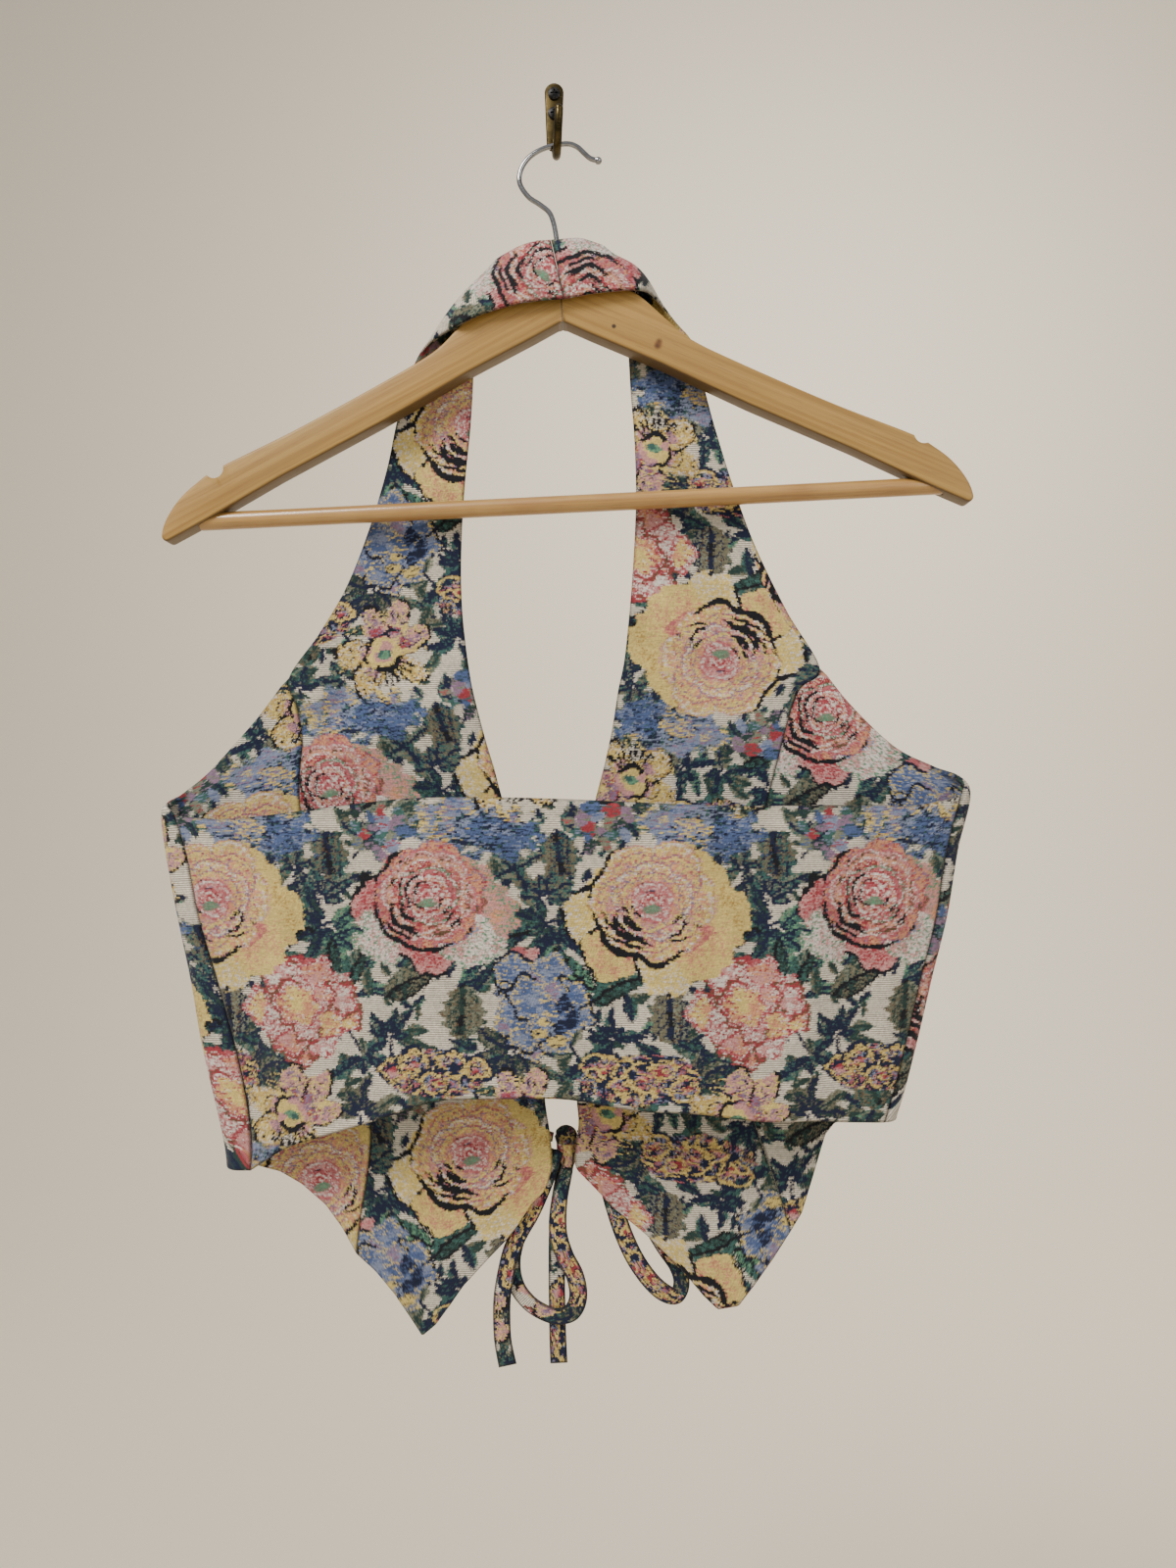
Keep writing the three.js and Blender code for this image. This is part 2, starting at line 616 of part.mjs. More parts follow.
function tie() {
  const knot = new THREE.SphereGeometry(0.5, 12, 8)
    .scale(KNOT.width, KNOT.depth, KNOT.height)
    .translate(KNOT.x, KNOT.y, KNOT.z);
  const strips = Object.entries(TIE_STRIPS).map(([name, rows]) =>
    named(name, strip(rows), MATERIALS.tapestry),
  );
  return [named("tie_knot", knot, MATERIALS.tapestry), ...strips];
}

// One arm of the hanger in the hanger's own frame, its face in the plane of the wall.
function armGeometry(side, span) {
  const shape = new THREE.Shape();
  const start = (side * ARM_JOINT_GAP) / 2;
  const stretch = (side * span) / ARM_END.at(-2).x;
  shape.moveTo(start, ARM_LOW.at(-1).z);
  shape.lineTo(start, ARM_TOP[0].z);
  shape.splineThru(ARM_TOP.slice(1).map((p) => new THREE.Vector2(stretch * p.x, p.z)));
  shape.lineTo(stretch * ARM_END[0].x, ARM_END[0].z);
  shape.splineThru(ARM_END.slice(1).map((p) => new THREE.Vector2(stretch * p.x, p.z)));
  ARM_LOW.slice(0, -1).forEach((p) => shape.lineTo(stretch * p.x, p.z));
  const body = new THREE.ExtrudeGeometry(shape, {
    depth: HANGER_THICKNESS - 2 * ARM_BEVEL,
    curveSegments: 2,
    bevelSize: ARM_BEVEL,
    bevelOffset: -ARM_BEVEL,
    bevelThickness: ARM_BEVEL,
    bevelSegments: 1,
  });
  body.translate(0, 0, ARM_BEVEL - HANGER_THICKNESS / 2).rotateX(Math.PI / 2);
  return body;
}

function hangerTools() {
  const barSeat = new THREE.CylinderGeometry(BAR_RADIUS + FIT_GAP, BAR_RADIUS + FIT_GAP,
    2 * (BAR_HALF_LENGTH + FIT_GAP), 16).rotateZ(Math.PI / 2).translate(0, 0, BAR_Z);
  const notches = [-1, 1].map((side) =>
    new THREE.CylinderGeometry(NOTCH_RADIUS, NOTCH_RADIUS, 2 * HANGER_THICKNESS, 14)
      .translate(side * NOTCH_AT, 0, NOTCH_Z),
  );
  return [barSeat, ...notches];
}

// The hanger's wooden parts, rolled a little about the joint of its arms.
function hanger() {
  const roll = new THREE.Group();
  roll.position.copy(HANGER_JOINT);
  roll.rotation.y = -THREE.MathUtils.degToRad(HANGER_ROLL_DEG);
  const tools = [...hangerTools(), wireSeat(roll)];
  for (const [name, side] of [["left", -1], ["right", 1]])
    roll.add(named(`hanger_arm_${name}`, cut(armGeometry(side, ARM_SPAN[name]), ...tools), MATERIALS.wood));
  const bar = new THREE.CylinderGeometry(BAR_RADIUS, BAR_RADIUS, 2 * BAR_HALF_LENGTH, 14)
    .rotateZ(Math.PI / 2)
    .translate(0, 0, BAR_Z);
  roll.add(named("hanger_bar", bar, MATERIALS.varnish));
  return roll;
}

// The bore in the hanger's top that the wire stands in, in the hanger's own frame.
function wireSeat(roll) {
  roll.updateMatrixWorld(true);
  const bore = tube(wirePoints(0, 3), WIRE_RADIUS + FIT_GAP, WIRE_SIDES, 6);
  return bore.translate(0, 0, -FIT_GAP).applyMatrix4(roll.matrixWorld.clone().invert());
}

function wirePoints(first, last) {
  return WIRE.slice(first, last).map((p) => new THREE.Vector3(p.x, p.y, p.z));
}

function wireHook() {
  const tip = WIRE.at(-1);
  const wire = tube(wirePoints(0, WIRE.length), WIRE_RADIUS, WIRE_SIDES, WIRE_STEPS);
  const end = ball(WIRE_BALL_RADIUS, tip.x, tip.y, tip.z);
  return named("hanger_hook_wire", join(wire, end), MATERIALS.chrome);
}

// The wall hook's oval plate with its prong, bent out of the plate's foot into a half circle.
function wallHook() {
  const half = PLATE.width / 2;
  const outline = new THREE.Shape();
  outline.moveTo(-half, PLATE.top - half);
  outline.absarc(0, PLATE.top - half, half, Math.PI, 0, true);
  outline.lineTo(PLATE.footRadius, PLATE.bottom + PLATE.footRadius);
  outline.absarc(0, PLATE.bottom + PLATE.footRadius, PLATE.footRadius, 0, -Math.PI, true);
  outline.closePath();
  const plate = new THREE.ExtrudeGeometry(outline, {
    depth: PLATE.thickness,
    curveSegments: 8,
    bevelEnabled: false,
  }).rotateX(Math.PI / 2);
  const points = Array.from({ length: PRONG_BEND_STEPS + 1 }, (_, i) => {
    const share = i / PRONG_BEND_STEPS;
    const angle = Math.PI * share;
    return new THREE.Vector3(
      PRONG_ROOT_X + PRONG_LEAN * share,
      PRONG_ROOT_Y - PRONG_BEND * (1 - Math.cos(angle)),
      PRONG_ROOT_Z - PRONG_BEND * Math.sin(angle),
    );
  });
  const tip = points.at(-1).clone();
  tip.z += PRONG_TIP_RISE;
  const prong = tube([...points, tip], PRONG_RADIUS, 10, 18);
  const end = ball(PRONG_TIP_RADIUS, tip.x, tip.y, tip.z);
  return named("wall_hook", join(plate, prong, end), MATERIALS.brass);
}

function screw(name, z) {
  const head = new THREE.LatheGeometry(
    [
      new THREE.Vector2(0, 0),
      new THREE.Vector2(SCREW.radius, 0),
      new THREE.Vector2(SCREW.radius, SCREW.rim),
      new THREE.Vector2(SCREW.shoulderRadius, SCREW.shoulder),
      new THREE.Vector2(0, SCREW.crown),
    ],
    20,
  );
  const depth = 2 * SCREW.slotDepth;
  const slots = [
    new THREE.BoxGeometry(SCREW.slotLength, depth, SCREW.slotWidth).translate(0, SCREW.crown, 0),
    new THREE.BoxGeometry(SCREW.slotWidth, depth, SCREW.slotLength).translate(0, SCREW.crown, 0),
  ];
  const mesh = named(name, cut(head, ...slots), MATERIALS.black);
  mesh.rotation.x = Math.PI;
  mesh.position.set(0, -PLATE.thickness - FIT_GAP, z);
  return mesh;
}

const group = new THREE.Group();
group.add(wallHook());
group.add(screw("wall_screw_upper", SCREW_Z[0]), screw("wall_screw_lower", SCREW_Z[1]));
group.add(hanger(), wireHook());
group.add(...fronts(), backBand(), ...tie());

export default group;
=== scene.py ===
"""Halter waistcoat of floral tapestry cloth, hung by its neckband on a flat wooden hanger.

The garment's back is towards the room, so the insides of its self-lined fronts show beside the back
band, and the neckband comes round in front of the hanger. Sizes are in millimetres until a mesh is
made, and in metres from there on, with +Z up and the hook's back face in the plane y = 0.
"""
import logging
import math
from collections.abc import Callable, Iterable, Iterator, Sequence
from contextlib import contextmanager
from dataclasses import dataclass
from enum import Enum
from functools import cache

import bmesh
import bpy
import numpy as np
from mathutils import Matrix, Vector


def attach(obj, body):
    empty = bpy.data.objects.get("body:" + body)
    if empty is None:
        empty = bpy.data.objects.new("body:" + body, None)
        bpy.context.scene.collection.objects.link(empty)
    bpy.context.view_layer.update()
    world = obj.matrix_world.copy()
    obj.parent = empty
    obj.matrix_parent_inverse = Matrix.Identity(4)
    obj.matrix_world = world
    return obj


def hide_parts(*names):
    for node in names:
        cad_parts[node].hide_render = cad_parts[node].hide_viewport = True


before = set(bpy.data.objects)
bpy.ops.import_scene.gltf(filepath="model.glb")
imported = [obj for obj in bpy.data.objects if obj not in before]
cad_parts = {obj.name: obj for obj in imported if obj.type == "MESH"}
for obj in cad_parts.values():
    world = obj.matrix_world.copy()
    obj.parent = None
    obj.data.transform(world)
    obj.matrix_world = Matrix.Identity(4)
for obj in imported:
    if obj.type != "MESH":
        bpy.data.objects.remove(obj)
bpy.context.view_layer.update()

LOG = logging.getLogger("waistcoat")
MM = 0.001
BODY = "root"

LAYER = 1.1
LAYER_GAP = 0.3
BAND_THICKNESS = 2.2
SEAM_GAP = 0.04
SIDE_FOLD_RADIUS = 7.0
FRONT_BOW = 1.2
BAND_BULGE = 20.0
BAND_BULGE_POWER = 2.4
UNDERARM_ROW = 5
CELL = 1.25
FAR_FROM_EDGE = 99.0
HANGER_ROLL = 2.82
ARM_SLOPE = 25.5
SHARP_ANGLE = math.radians(38)
# Tone of the painted shade along the tie strips' turned edges.
EDGE_SHADE_TONE = (0.016, 0.022, 0.036)

# Straps, a row for each section from the centre back seam of the neckband, over the hanger's arm, to
# the top of the princess seam: the armhole edge (x, y, z), the neckline edge (x, y, z), and how far
# the middle of the section stands out from the line between them.
LEFT_STRAP = (
    (5.9, -29, -114, -1.2, -26, -81, 1.5),
    (-14.7, -29, -116.1, -13.8, -25, -82.5, 1.5),
    (-35.9, -28.7, -121.5, -27.9, -21, -87.8, 2.5),
    (-49.5, -27.4, -127, -36.4, -16, -95.2, 4.5),
    (-58.5, -20.5, -129.3, -41.6, -12, -104.3, 5.5),
    (-68, -13, -132.6, -44.5, -9.5, -114.1, 4.5),
    (-77.2, -8.8, -141.9, -45.1, -8.5, -127.4, 2),
    (-81.6, -8.5, -157.2, -44.6, -8.5, -148, 0.5),
    (-87, -8.5, -174, -46.2, -8.5, -177, 0),
    (-93, -8.5, -202, -49, -8.5, -205, 0),
    (-103.3, -8.5, -236, -50.9, -8.5, -234, 0.5),
    (-115.3, -8.5, -266, -51.4, -8.6, -262, 1),
    (-130.2, -8.6, -291.5, -50, -8.8, -288, 1.2),
)
RIGHT_STRAP = (
    (6.2, -29, -114, -0.9, -26, -81, 1.5),
    (20.6, -29, -111.6, 13.7, -25, -79.9, 1.5),
    (35.9, -28.7, -109.6, 25.2, -21.5, -82, 2.5),
    (46.2, -27, -108.9, 30.2, -17.5, -85.5, 4.5),
    (51.5, -20.5, -107.5, 33, -13.5, -89.5, 6),
    (58.5, -13, -111, 35.5, -10.5, -97, 6),
    (67.4, -9.6, -119.5, 39, -8.9, -109.5, 4),
    (77, -8.6, -130, 41, -8.5, -128.5, 1),
    (83.2, -8.5, -153.9, 42.7, -8.5, -158, 0),
    (89.7, -8.5, -178, 44.7, -8.5, -183, 0),
    (100, -8.5, -211, 45.6, -8.5, -212, 0.5),
    (112.3, -8.5, -244, 44.8, -8.6, -240, 1),
    (129.4, -8.5, -279, 42.5, -8.8, -274, 1.2),
)

# Fronts, a row for each section from the top of the princess seam to the hem: the princess seam
# (x, y, z), the neckline or front edge (x, y, z), how much of the hem's shape the row has, the
# outermost line of the side (x, y, z), the angle that the side turns round towards the room, and how
# far it then runs back to the side seam.
LEFT_FRONT = (
    (-146.8, -8.8, -316, -46.5, -9, -314, 0, -151, -9, -320.5, 0, 0),
    (-142.5, -8.8, -332, -42.6, -9, -332, 0, -166, -9.4, -340.5, 0, 0),
    (-139.5, -8.8, -349.7, -37.6, -9.2, -351, 0, -188, -10, -365.5, 5, 0),
    (-140.3, -8.9, -364, -33, -9.5, -366, 0, -203, -10.8, -379, 40, 0),
    (-140.9, -9, -375, -30.4, -9.7, -376, 0, -209.8, -11.6, -386, 115, 0),
    (-140.6, -9.2, -386, -27.2, -9.9, -387, 0, -212.4, -12, -391.7, 178, 1.5),
    (-138, -9.6, -410, -19.5, -10.8, -411, 0, -209.7, -12, -413, 180, 5),
    (-130, -10.3, -445, -12, -12, -445, 0, -203.6, -12, -446, 180, 5.5),
    (-119, -11.2, -482, -7.8, -13.5, -482, 0, -196, -12, -482.5, 180, 8.5),
    (-109, -12, -515, -5.8, -14.5, -515, 0.02, -190.5, -12, -514.5, 180, 11.5),
    (-102.5, -12.8, -546, -4.8, -15, -546, 0.12, -183.6, -12.4, -544, 180, 11),
    (-100.7, -13.2, -568, -2, -15.2, -566, 0.32, -179.8, -12.8, -560, 180, 9.5),
    (-102.5, -13.4, -590, -0.6, -15.2, -582, 0.56, -177.5, -13, -571, 180, 8),
    (-106, -13.5, -612, -2.3, -15, -591.5, 0.8, -176.6, -13, -578, 180, 7),
    (-108.4, -13.5, -633.3, -5.3, -14.8, -598.8, 1, -176.3, -13, -583, 180, 6.5),
)
RIGHT_FRONT = (
    (147.5, -8.7, -310.5, 39.3, -9, -305, 0, 151.5, -9, -314.5, 0, 0),
    (136.4, -8.8, -322, 35.7, -9, -323, 0, 165, -9.4, -331, 0, 0),
    (129.5, -8.8, -341, 32.6, -9.2, -343, 0, 188.5, -10, -353.8, 5, 0),
    (124.5, -8.9, -360, 28.6, -9.5, -362, 0, 210.5, -11, -365.5, 36, 0),
    (121.3, -9.1, -372, 25.5, -9.7, -374, 0, 221.5, -11.6, -371.5, 100, 0),
    (118.4, -9.2, -384, 22.5, -9.9, -386, 0, 226.2, -12, -381.5, 172, 0),
    (113.3, -9.6, -411, 17, -10.8, -411, 0, 219.5, -12, -410, 178, 0),
    (106.5, -10.3, -446, 13.5, -12, -446, 0, 213.6, -12, -446, 178, 0),
    (102.3, -11.2, -481, 12, -13.5, -482, 0, 205.5, -12, -479, 178, 0),
    (102, -12, -513, 12, -14.5, -515, 0.02, 199, -12, -507, 178, 0),
    (105.5, -12.8, -542, 12.6, -15, -545, 0.12, 193.2, -12.4, -530, 178, 0),
    (111, -13.2, -562, 13.8, -15.2, -561, 0.32, 190.2, -12.8, -541, 178, 0),
    (118.7, -13.4, -584, 12.2, -15.2, -574, 0.56, 188, -13, -548, 178, 0),
    (125.5, -13.5, -604, 12.2, -15, -584.5, 0.8, 186.4, -13, -553, 178, 0),
    (130.5, -13.5, -621, 16.3, -14.8, -590.2, 1, 185.4, -13, -557, 178, 0),
)

# Hems: shares of the way across, and how far the centre front's hem hangs below the line between its
# ends, or how far the side front's hangs below its own.
LEFT_POINT = (
    (0, 0), (0.1, 13), (0.2, 29), (0.28, 44), (0.35, 57.5), (0.42, 54), (0.5, 45.5), (0.57, 37.5),
    (0.69, 28), (0.8, 20), (0.86, 14), (0.93, 5), (1, 0),
)
RIGHT_POINT = (
    (0, 0), (0.08, 17), (0.17, 34.5), (0.25, 49), (0.35, 54), (0.42, 48.5), (0.5, 40), (0.57, 33.5),
    (0.7, 23), (0.8, 16.5), (0.86, 13), (0.93, 6), (1, 0),
)
LEFT_SIDE_HEM = ((0, 0), (0.13, -8), (0.28, -13), (0.5, -13.5), (0.7, -10), (0.85, -5), (1, 0))
RIGHT_SIDE_HEM = ((0, 0), (0.13, -2), (0.26, -14), (0.4, -28), (0.5, -28), (0.7, -18), (1, 0))

# Back band, a row for each station from the left side seam to the right one: the share of the way
# across, and how far its top and its lower edge rise above the line between their ends.
BAND = (
    (0, 0, 0), (0.06, -2.4, 12), (0.12, -1, 18), (0.2, 2.5, 25), (0.3, 6.3, 34), (0.4, 6, 33),
    (0.5, 4, 30.5), (0.6, 1, 22), (0.7, -1.5, 17), (0.8, -2.5, 9.5), (0.88, -3.5, 6.5),
    (0.94, -4, 3), (1, 0, 0),
)

Array = np.ndarray
Pair = tuple[float, float]
Triple = tuple[float, float, float]
Piece = bpy.types.Object


def smooth(rows: Array, place: Array) -> Array:
    """Values of a table at places between its rows, on a smooth curve through them.

    Args:
        rows: the table, a row of numbers for each place 0, 1, 2 and so on.
        place: the places to read, as a flat array.

    Returns:
        A row of numbers for each place.
    """
    i = np.clip(place.astype(int), 0, len(rows) - 2)
    t = (place - i)[:, None]
    a, b, c, d = (rows[np.clip(i + k, 0, len(rows) - 1)] for k in (-1, 0, 1, 2))
    return b + 0.5 * t * (c - a + t * (2 * a - 5 * b + 4 * c - d + t * (3 * (b - c) + d - a)))


def unit(vectors: Array) -> Array:
    """The same vectors, each of length one."""
    return vectors / np.maximum(np.linalg.norm(vectors, axis=-1, keepdims=True), 1e-9)


def linear(colour: Array) -> Array:
    """Screen colours from 0 to 1 as linear ones."""
    return np.where(colour <= 0.04045, colour / 12.92, ((colour + 0.055) / 1.055) ** 2.4)


def evenly(points: Callable[[Array], Array], first: float, last: float, pitch: float) -> Array:
    """Places along a surface whose rows then lie about a pitch apart where they are widest apart.

    Args:
        points: gives the surface's rows, an array (rows, columns, 3), for an array of places.
        first: the first place.
        last: the last place.
        pitch: the distance between rows.

    Returns:
        The places, from the first to the last.
    """
    fine = np.linspace(first, last, 400)
    steps = np.linalg.norm(np.diff(points(fine), axis=0), axis=2).max(axis=1)
    run = np.concatenate([[0], np.cumsum(steps)])
    count = max(2, round(run[-1] / pitch))
    return np.interp(np.linspace(0, run[-1], count + 1), run, fine)


class Yarn(Enum):
    """The yarns of the tapestry, each with its red, green and blue from 0 to 255."""

    CREAM = (212, 203, 186)
    IVORY = (220, 211, 202)
    YELLOW = (216, 192, 116)
    OCHRE = (184, 150, 82)
    PEACH = (206, 146, 112)
    PINK = (200, 146, 142)
    ROSE = (182, 100, 104)
    CRIMSON = (156, 58, 66)
    MAUVE = (138, 112, 136)
    POWDER = (128, 138, 164)
    BLUE = (78, 96, 138)
    NAVY = (27, 34, 60)
    BLACK = (20, 21, 28)
    TEAL = (58, 96, 90)
    PINE = (40, 62, 58)
    MINT = (98, 142, 112)
    OLIVE = (110, 106, 86)
    SAGE = (122, 126, 108)
    BROWN = (102, 78, 56)


YARNS = list(Yarn)
YARN_NUMBER = {yarn: number for number, yarn in enumerate(YARNS)}
(CREAM, IVORY, YELLOW, OCHRE, PEACH, PINK, ROSE, CRIMSON, MAUVE, POWDER, BLUE, NAVY, BLACK, TEAL, PINE, MINT,
 OLIVE, SAGE, BROWN) = YARNS
Shades = tuple[Yarn, ...]


class Tapestry:
    """One repeat of the floral pattern, drawn thread by thread in the flat of the cloth.

    Places in it are millimetres from the heart of the pink rose, x to the right and y up.
    """

    WIDTH = 236.0
    HEIGHT = 184.0
    THREADS = (392, 306)

    def __init__(self, seed: int = 7) -> None:
        """Lays out the ground and draws every motif on it.

        Args:
            seed: starts the random draws of the uneven threads.
        """
        self.columns, self.rows = self.THREADS
        self.rng = np.random.default_rng(seed)
        across = (np.arange(self.columns) + 0.5) * self.WIDTH / self.columns
        up = (np.arange(self.rows) + 0.5) * self.HEIGHT / self.rows
        self.u, self.v = np.meshgrid(across, up)
        self.yarn = np.full(self.u.shape, YARN_NUMBER[CREAM])
        self.grain = self.rng.random(self.u.shape)
        self.blots = self.soft_noise(5)
        self.waves = self.soft_noise(12)
        self.tangle = self.soft_noise(6.5)
        self.warp = np.repeat(self.rng.random((1, self.columns)), self.rows, axis=0)
        self.weft = np.repeat(self.rng.random((self.rows, self.columns // 4)), 4, axis=1)
        self.draw()
        self.colour = self.weave()

    def soft_noise(self, cell: float) -> Array:
        """Smooth random values from 0 to 1 that join up at the repeat's edges.

        Args:
            cell: the size of a blot in millimetres.

        Returns:
            An array of the repeat's shape.
        """
        across = max(3, round(self.WIDTH / cell))
        up = max(3, round(self.HEIGHT / cell))
        knots = self.rng.random((up, across))
        x, y = self.u / self.WIDTH * across, self.v / self.HEIGHT * up
        i, j = x.astype(int), y.astype(int)
        fx, fy = x - i, y - j
        fx, fy = fx * fx * (3 - 2 * fx), fy * fy * (3 - 2 * fy)
        low = knots[j % up, i % across] * (1 - fx) + knots[j % up, (i + 1) % across] * fx
        high = knots[(j + 1) % up, i % across] * (1 - fx) + knots[(j + 1) % up, (i + 1) % across] * fx
        return low * (1 - fy) + high * fy

    def local(self, x: float, y: float, turn: float = 0.0) -> tuple[Array, Array]:
        """Distances of every thread from a point of the repeat, along a turned direction and across it."""
        dx = (self.u - x + self.WIDTH / 2) % self.WIDTH - self.WIDTH / 2
        dy = (self.v - y + self.HEIGHT / 2) % self.HEIGHT - self.HEIGHT / 2
        c, s = math.cos(math.radians(turn)), math.sin(math.radians(turn))
        return dx * c + dy * s, dy * c - dx * s

    def ground(self) -> Array:
        """Which threads show the plain ground."""
        return self.yarn == YARN_NUMBER[CREAM]

    def put(self, where: Array, *yarns: Yarn, shares: Sequence[float] = (), by: Array | None = None) -> None:
        """Gives threads new yarns.

        Args:
            where: which threads are meant.
            yarns: the yarns that they take.
            shares: the share of each yarn, alike where none are given.
            by: the values that sort the threads among the yarns, or the plain grain.
        """
        if not where.any():
            return
        value = (self.grain if by is None else by)[where]
        parts = list(shares) or [1 / len(yarns)] * len(yarns)
        edges = np.quantile(value, np.minimum(np.cumsum(parts)[:-1], 1))
        numbers = np.array([YARN_NUMBER[yarn] for yarn in yarns])
        self.yarn[where] = numbers[np.searchsorted(edges, value)]

    def leaf(self, x: float, y: float, length: float, width: float, turn: float,
             light: Yarn, dark: Yarn, edge: Yarn = BLACK, over: bool = True) -> None:
        """A toothed leaf with one light and one dark half, its middle at the point.

        Args:
            x: the middle's place across the repeat.
            y: the middle's place up the repeat.
            length: from the leaf's foot to its tip.
            width: the leaf's greatest width.
            turn: the direction of its tip in degrees.
            light: the yarn of its lit half.
            dark: the yarn of its shaded half.
            edge: the yarn of its midrib and shaded rim.
            over: whether it covers other motifs, or only the ground.
        """
        a, b = self.local(x, y, turn)
        s = a / length + 0.5
        inside = np.clip(s, 0, 1)
        b = b - 0.08 * length * np.sin(np.pi * inside) + 1.6 * (self.blots - 0.5)
        reach = width / 2 * np.sin(np.pi * inside ** 0.8) ** 0.7 * (1 - 0.16 * ((a / 3.4) % 1))
        body = (s > 0) & (s < 1) & (np.abs(b) < reach)
        if not over:
            body &= self.ground()
        hatch = 0.55 * self.warp + 0.2 * self.grain + 0.25 * self.blots
        vein = ((a - 0.9 * np.abs(b)) / 5.2) % 1
        self.put(body & (b >= 0), light, dark, SAGE, shares=(0.6, 0.2, 0.2), by=hatch)
        self.put(body & (b < 0), dark, edge, light, shares=(0.6, 0.1, 0.3), by=hatch)
        self.put(body & (b >= 0) & (vein < 0.2), dark)
        self.put(body & (b < 0) & (vein < 0.16), edge)
        self.put(body & (np.abs(b) < 0.9) & (s < 0.9), edge)
        self.put(body & (b < 0) & (reach + b < 1.3) & (self.waves > 0.5), edge)

    def broad_leaf(self, x: float, y: float, length: float, width: float, turn: float,
                   yarns: tuple[Yarn, Yarn, Yarn]) -> None:
        """A broad leaf shaded by upright hatching, with a thick dark rib down its middle."""
        a, b = self.local(x, y, turn)
        s = np.clip(a / length + 0.5, 0, 1)
        reach = width / 2 * np.sin(np.pi * s ** 1.15) ** 0.55 * (1 + 0.12 * np.sin(a * 1.1 + 2 * (b > 0)))
        body = (np.abs(a) < length / 2) & (np.abs(b) < reach + 1.6 * (self.blots - 0.5))
        hatch = 0.75 * self.warp + 0.15 * self.grain + 0.1 * self.waves
        light, middle, dark = yarns
        self.put(body, light, middle, BROWN, dark, shares=(0.45, 0.3, 0.1, 0.15), by=hatch)
        self.put(body & (b > 0.45 * reach) & (self.waves > 0.3), middle, dark, by=self.warp)
        self.put(body & (np.abs(b + 0.8) < 1.7) & (s < 0.92), dark, BLACK, by=self.blots)
        vein = ((a - 1.1 * np.abs(b)) / 6.5) % 1
        self.put(body & (vein < 0.13) & (np.abs(b) < 0.8 * reach), dark)

    def spray(self, x: float, y: float, turn: float, count: int, size: float,
              light: Yarn, dark: Yarn, edge: Yarn = NAVY, fan: float = 170) -> None:
        """Leaves fanned about a point, with a stem behind it."""
        a, b = self.local(x, y, turn)
        self.put((np.abs(b + 0.03 * a * a / size) < 0.9) & (a < 0) & (a > -0.9 * size), edge)
        for k in range(count):
            spread = (k / max(count - 1, 1) - 0.5) * fan
            angle = math.radians(turn + spread)
            reach = size * (0.85 + 0.3 * math.sin(2.7 * k + x))
            self.leaf(x + 0.6 * reach * math.cos(angle), y + 0.6 * reach * math.sin(angle),
                      reach, 0.46 * size, turn + spread + 12 * math.sin(3 * k), light, dark, edge)

    def petal(self, x: float, y: float, along: float, across: float, turn: float,
              yarns: tuple[Shades, ...], line: bool = False) -> None:
        """A broad petal: its body, its outer rim and the shade at its root, outlined where asked."""
        body_yarns, rim_yarns, root_yarns = yarns
        a, b = self.local(x, y, turn)
        r = np.hypot(a / along, b / across) * (1 + 0.36 * (self.waves - 0.5) + 0.3 * (self.blots - 0.5))
        if line:
            rim = (r < 1 + 2.2 / along) & (b < 0.35 * across) & (a > -0.5 * along)
            self.put(rim & (self.waves > 0.36), BLACK)
        self.put(r < 1, *body_yarns, by=0.4 * self.blots + 0.25 * self.weft + 0.35 * self.warp)
        self.put((r < 1) & (r > 0.8) & (a > -0.2 * along) & (self.grain > 0.25), *rim_yarns)
        streak = (np.degrees(np.arctan2(b, a + along)) / 6 + 0.8 * self.grain) % 1
        self.put((r < 0.8) & (streak < 0.34), *rim_yarns)
        self.put((r < 0.55) & (a < 0), *root_yarns, by=0.5 * self.warp + 0.5 * self.grain)

    def rose(self, x: float, y: float, radius: float, turn: float,
             skirt: Sequence[tuple[Shades, ...]],
             rings: Sequence[tuple[Shades, ...]]) -> None:
        """A full rose: a skirt of petals round turns of shaded strokes, with dark bows on one side."""
        around = ((150, 0.6, 0.4), (190, 0.88, 0.46), (228, 0.94, 0.52), (342, 0.96, 0.52),
                  (272, 0.92, 0.5), (310, 1.02, 0.56), (20, 0.64, 0.44))
        for k, (angle, reach, size) in enumerate(around):
            a = math.radians(angle + turn)
            self.petal(x + reach * radius * math.cos(a), y + 0.92 * reach * radius * math.sin(a),
                       size * radius, 0.6 * size * radius + 5, angle + turn + 14 * math.sin(2 * k),
                       skirt[k % len(skirt)], 180 < angle < 300)
        dx, dy = self.local(x, y, turn)
        theta = np.arctan2(dy, dx)
        r = np.hypot(dx, dy * 1.04) / radius
        r = r * (1 + 0.1 * (self.waves - 0.5) + 0.07 * (self.blots - 0.5))
        for k in range(len(rings), 0, -1):
            light, middle, dark = rings[k - 1]
            petals = np.abs(np.sin((3 + k // 2) / 2 * theta + 1.9 * k)) ** 0.5
            rim = 0.92 * k / len(rings) * (0.84 + 0.18 * petals)
            self.put(r < rim + 0.025, *dark)
            self.put(r < rim, *middle, by=0.4 * self.blots + 0.3 * self.grain + 0.3 * self.warp)
            self.put((r < rim) & (r > rim - 0.3 / len(rings)), *light)
            streak = (np.degrees(theta) / 9 + 0.8 * self.grain + 0.5 * k) % 1
            self.put((r < rim) & (streak < 0.2), *dark)
            self.put((r < rim) & (streak > 0.84), *light)
            self.put((np.abs(r - rim) < 0.022) & (dx + dy < 6) & (self.waves > 0.56), BLACK)
        degrees = np.degrees(theta) % 360
        bows = ((178, 300, 0.93, 0.05), (190, 262, 0.68, 0.05), (196, 245, 0.5, 0.045),
                (118, 172, 0.92, 0.035), (210, 250, 0.8, 0.03))
        for low, high, middle_r, half in bows:
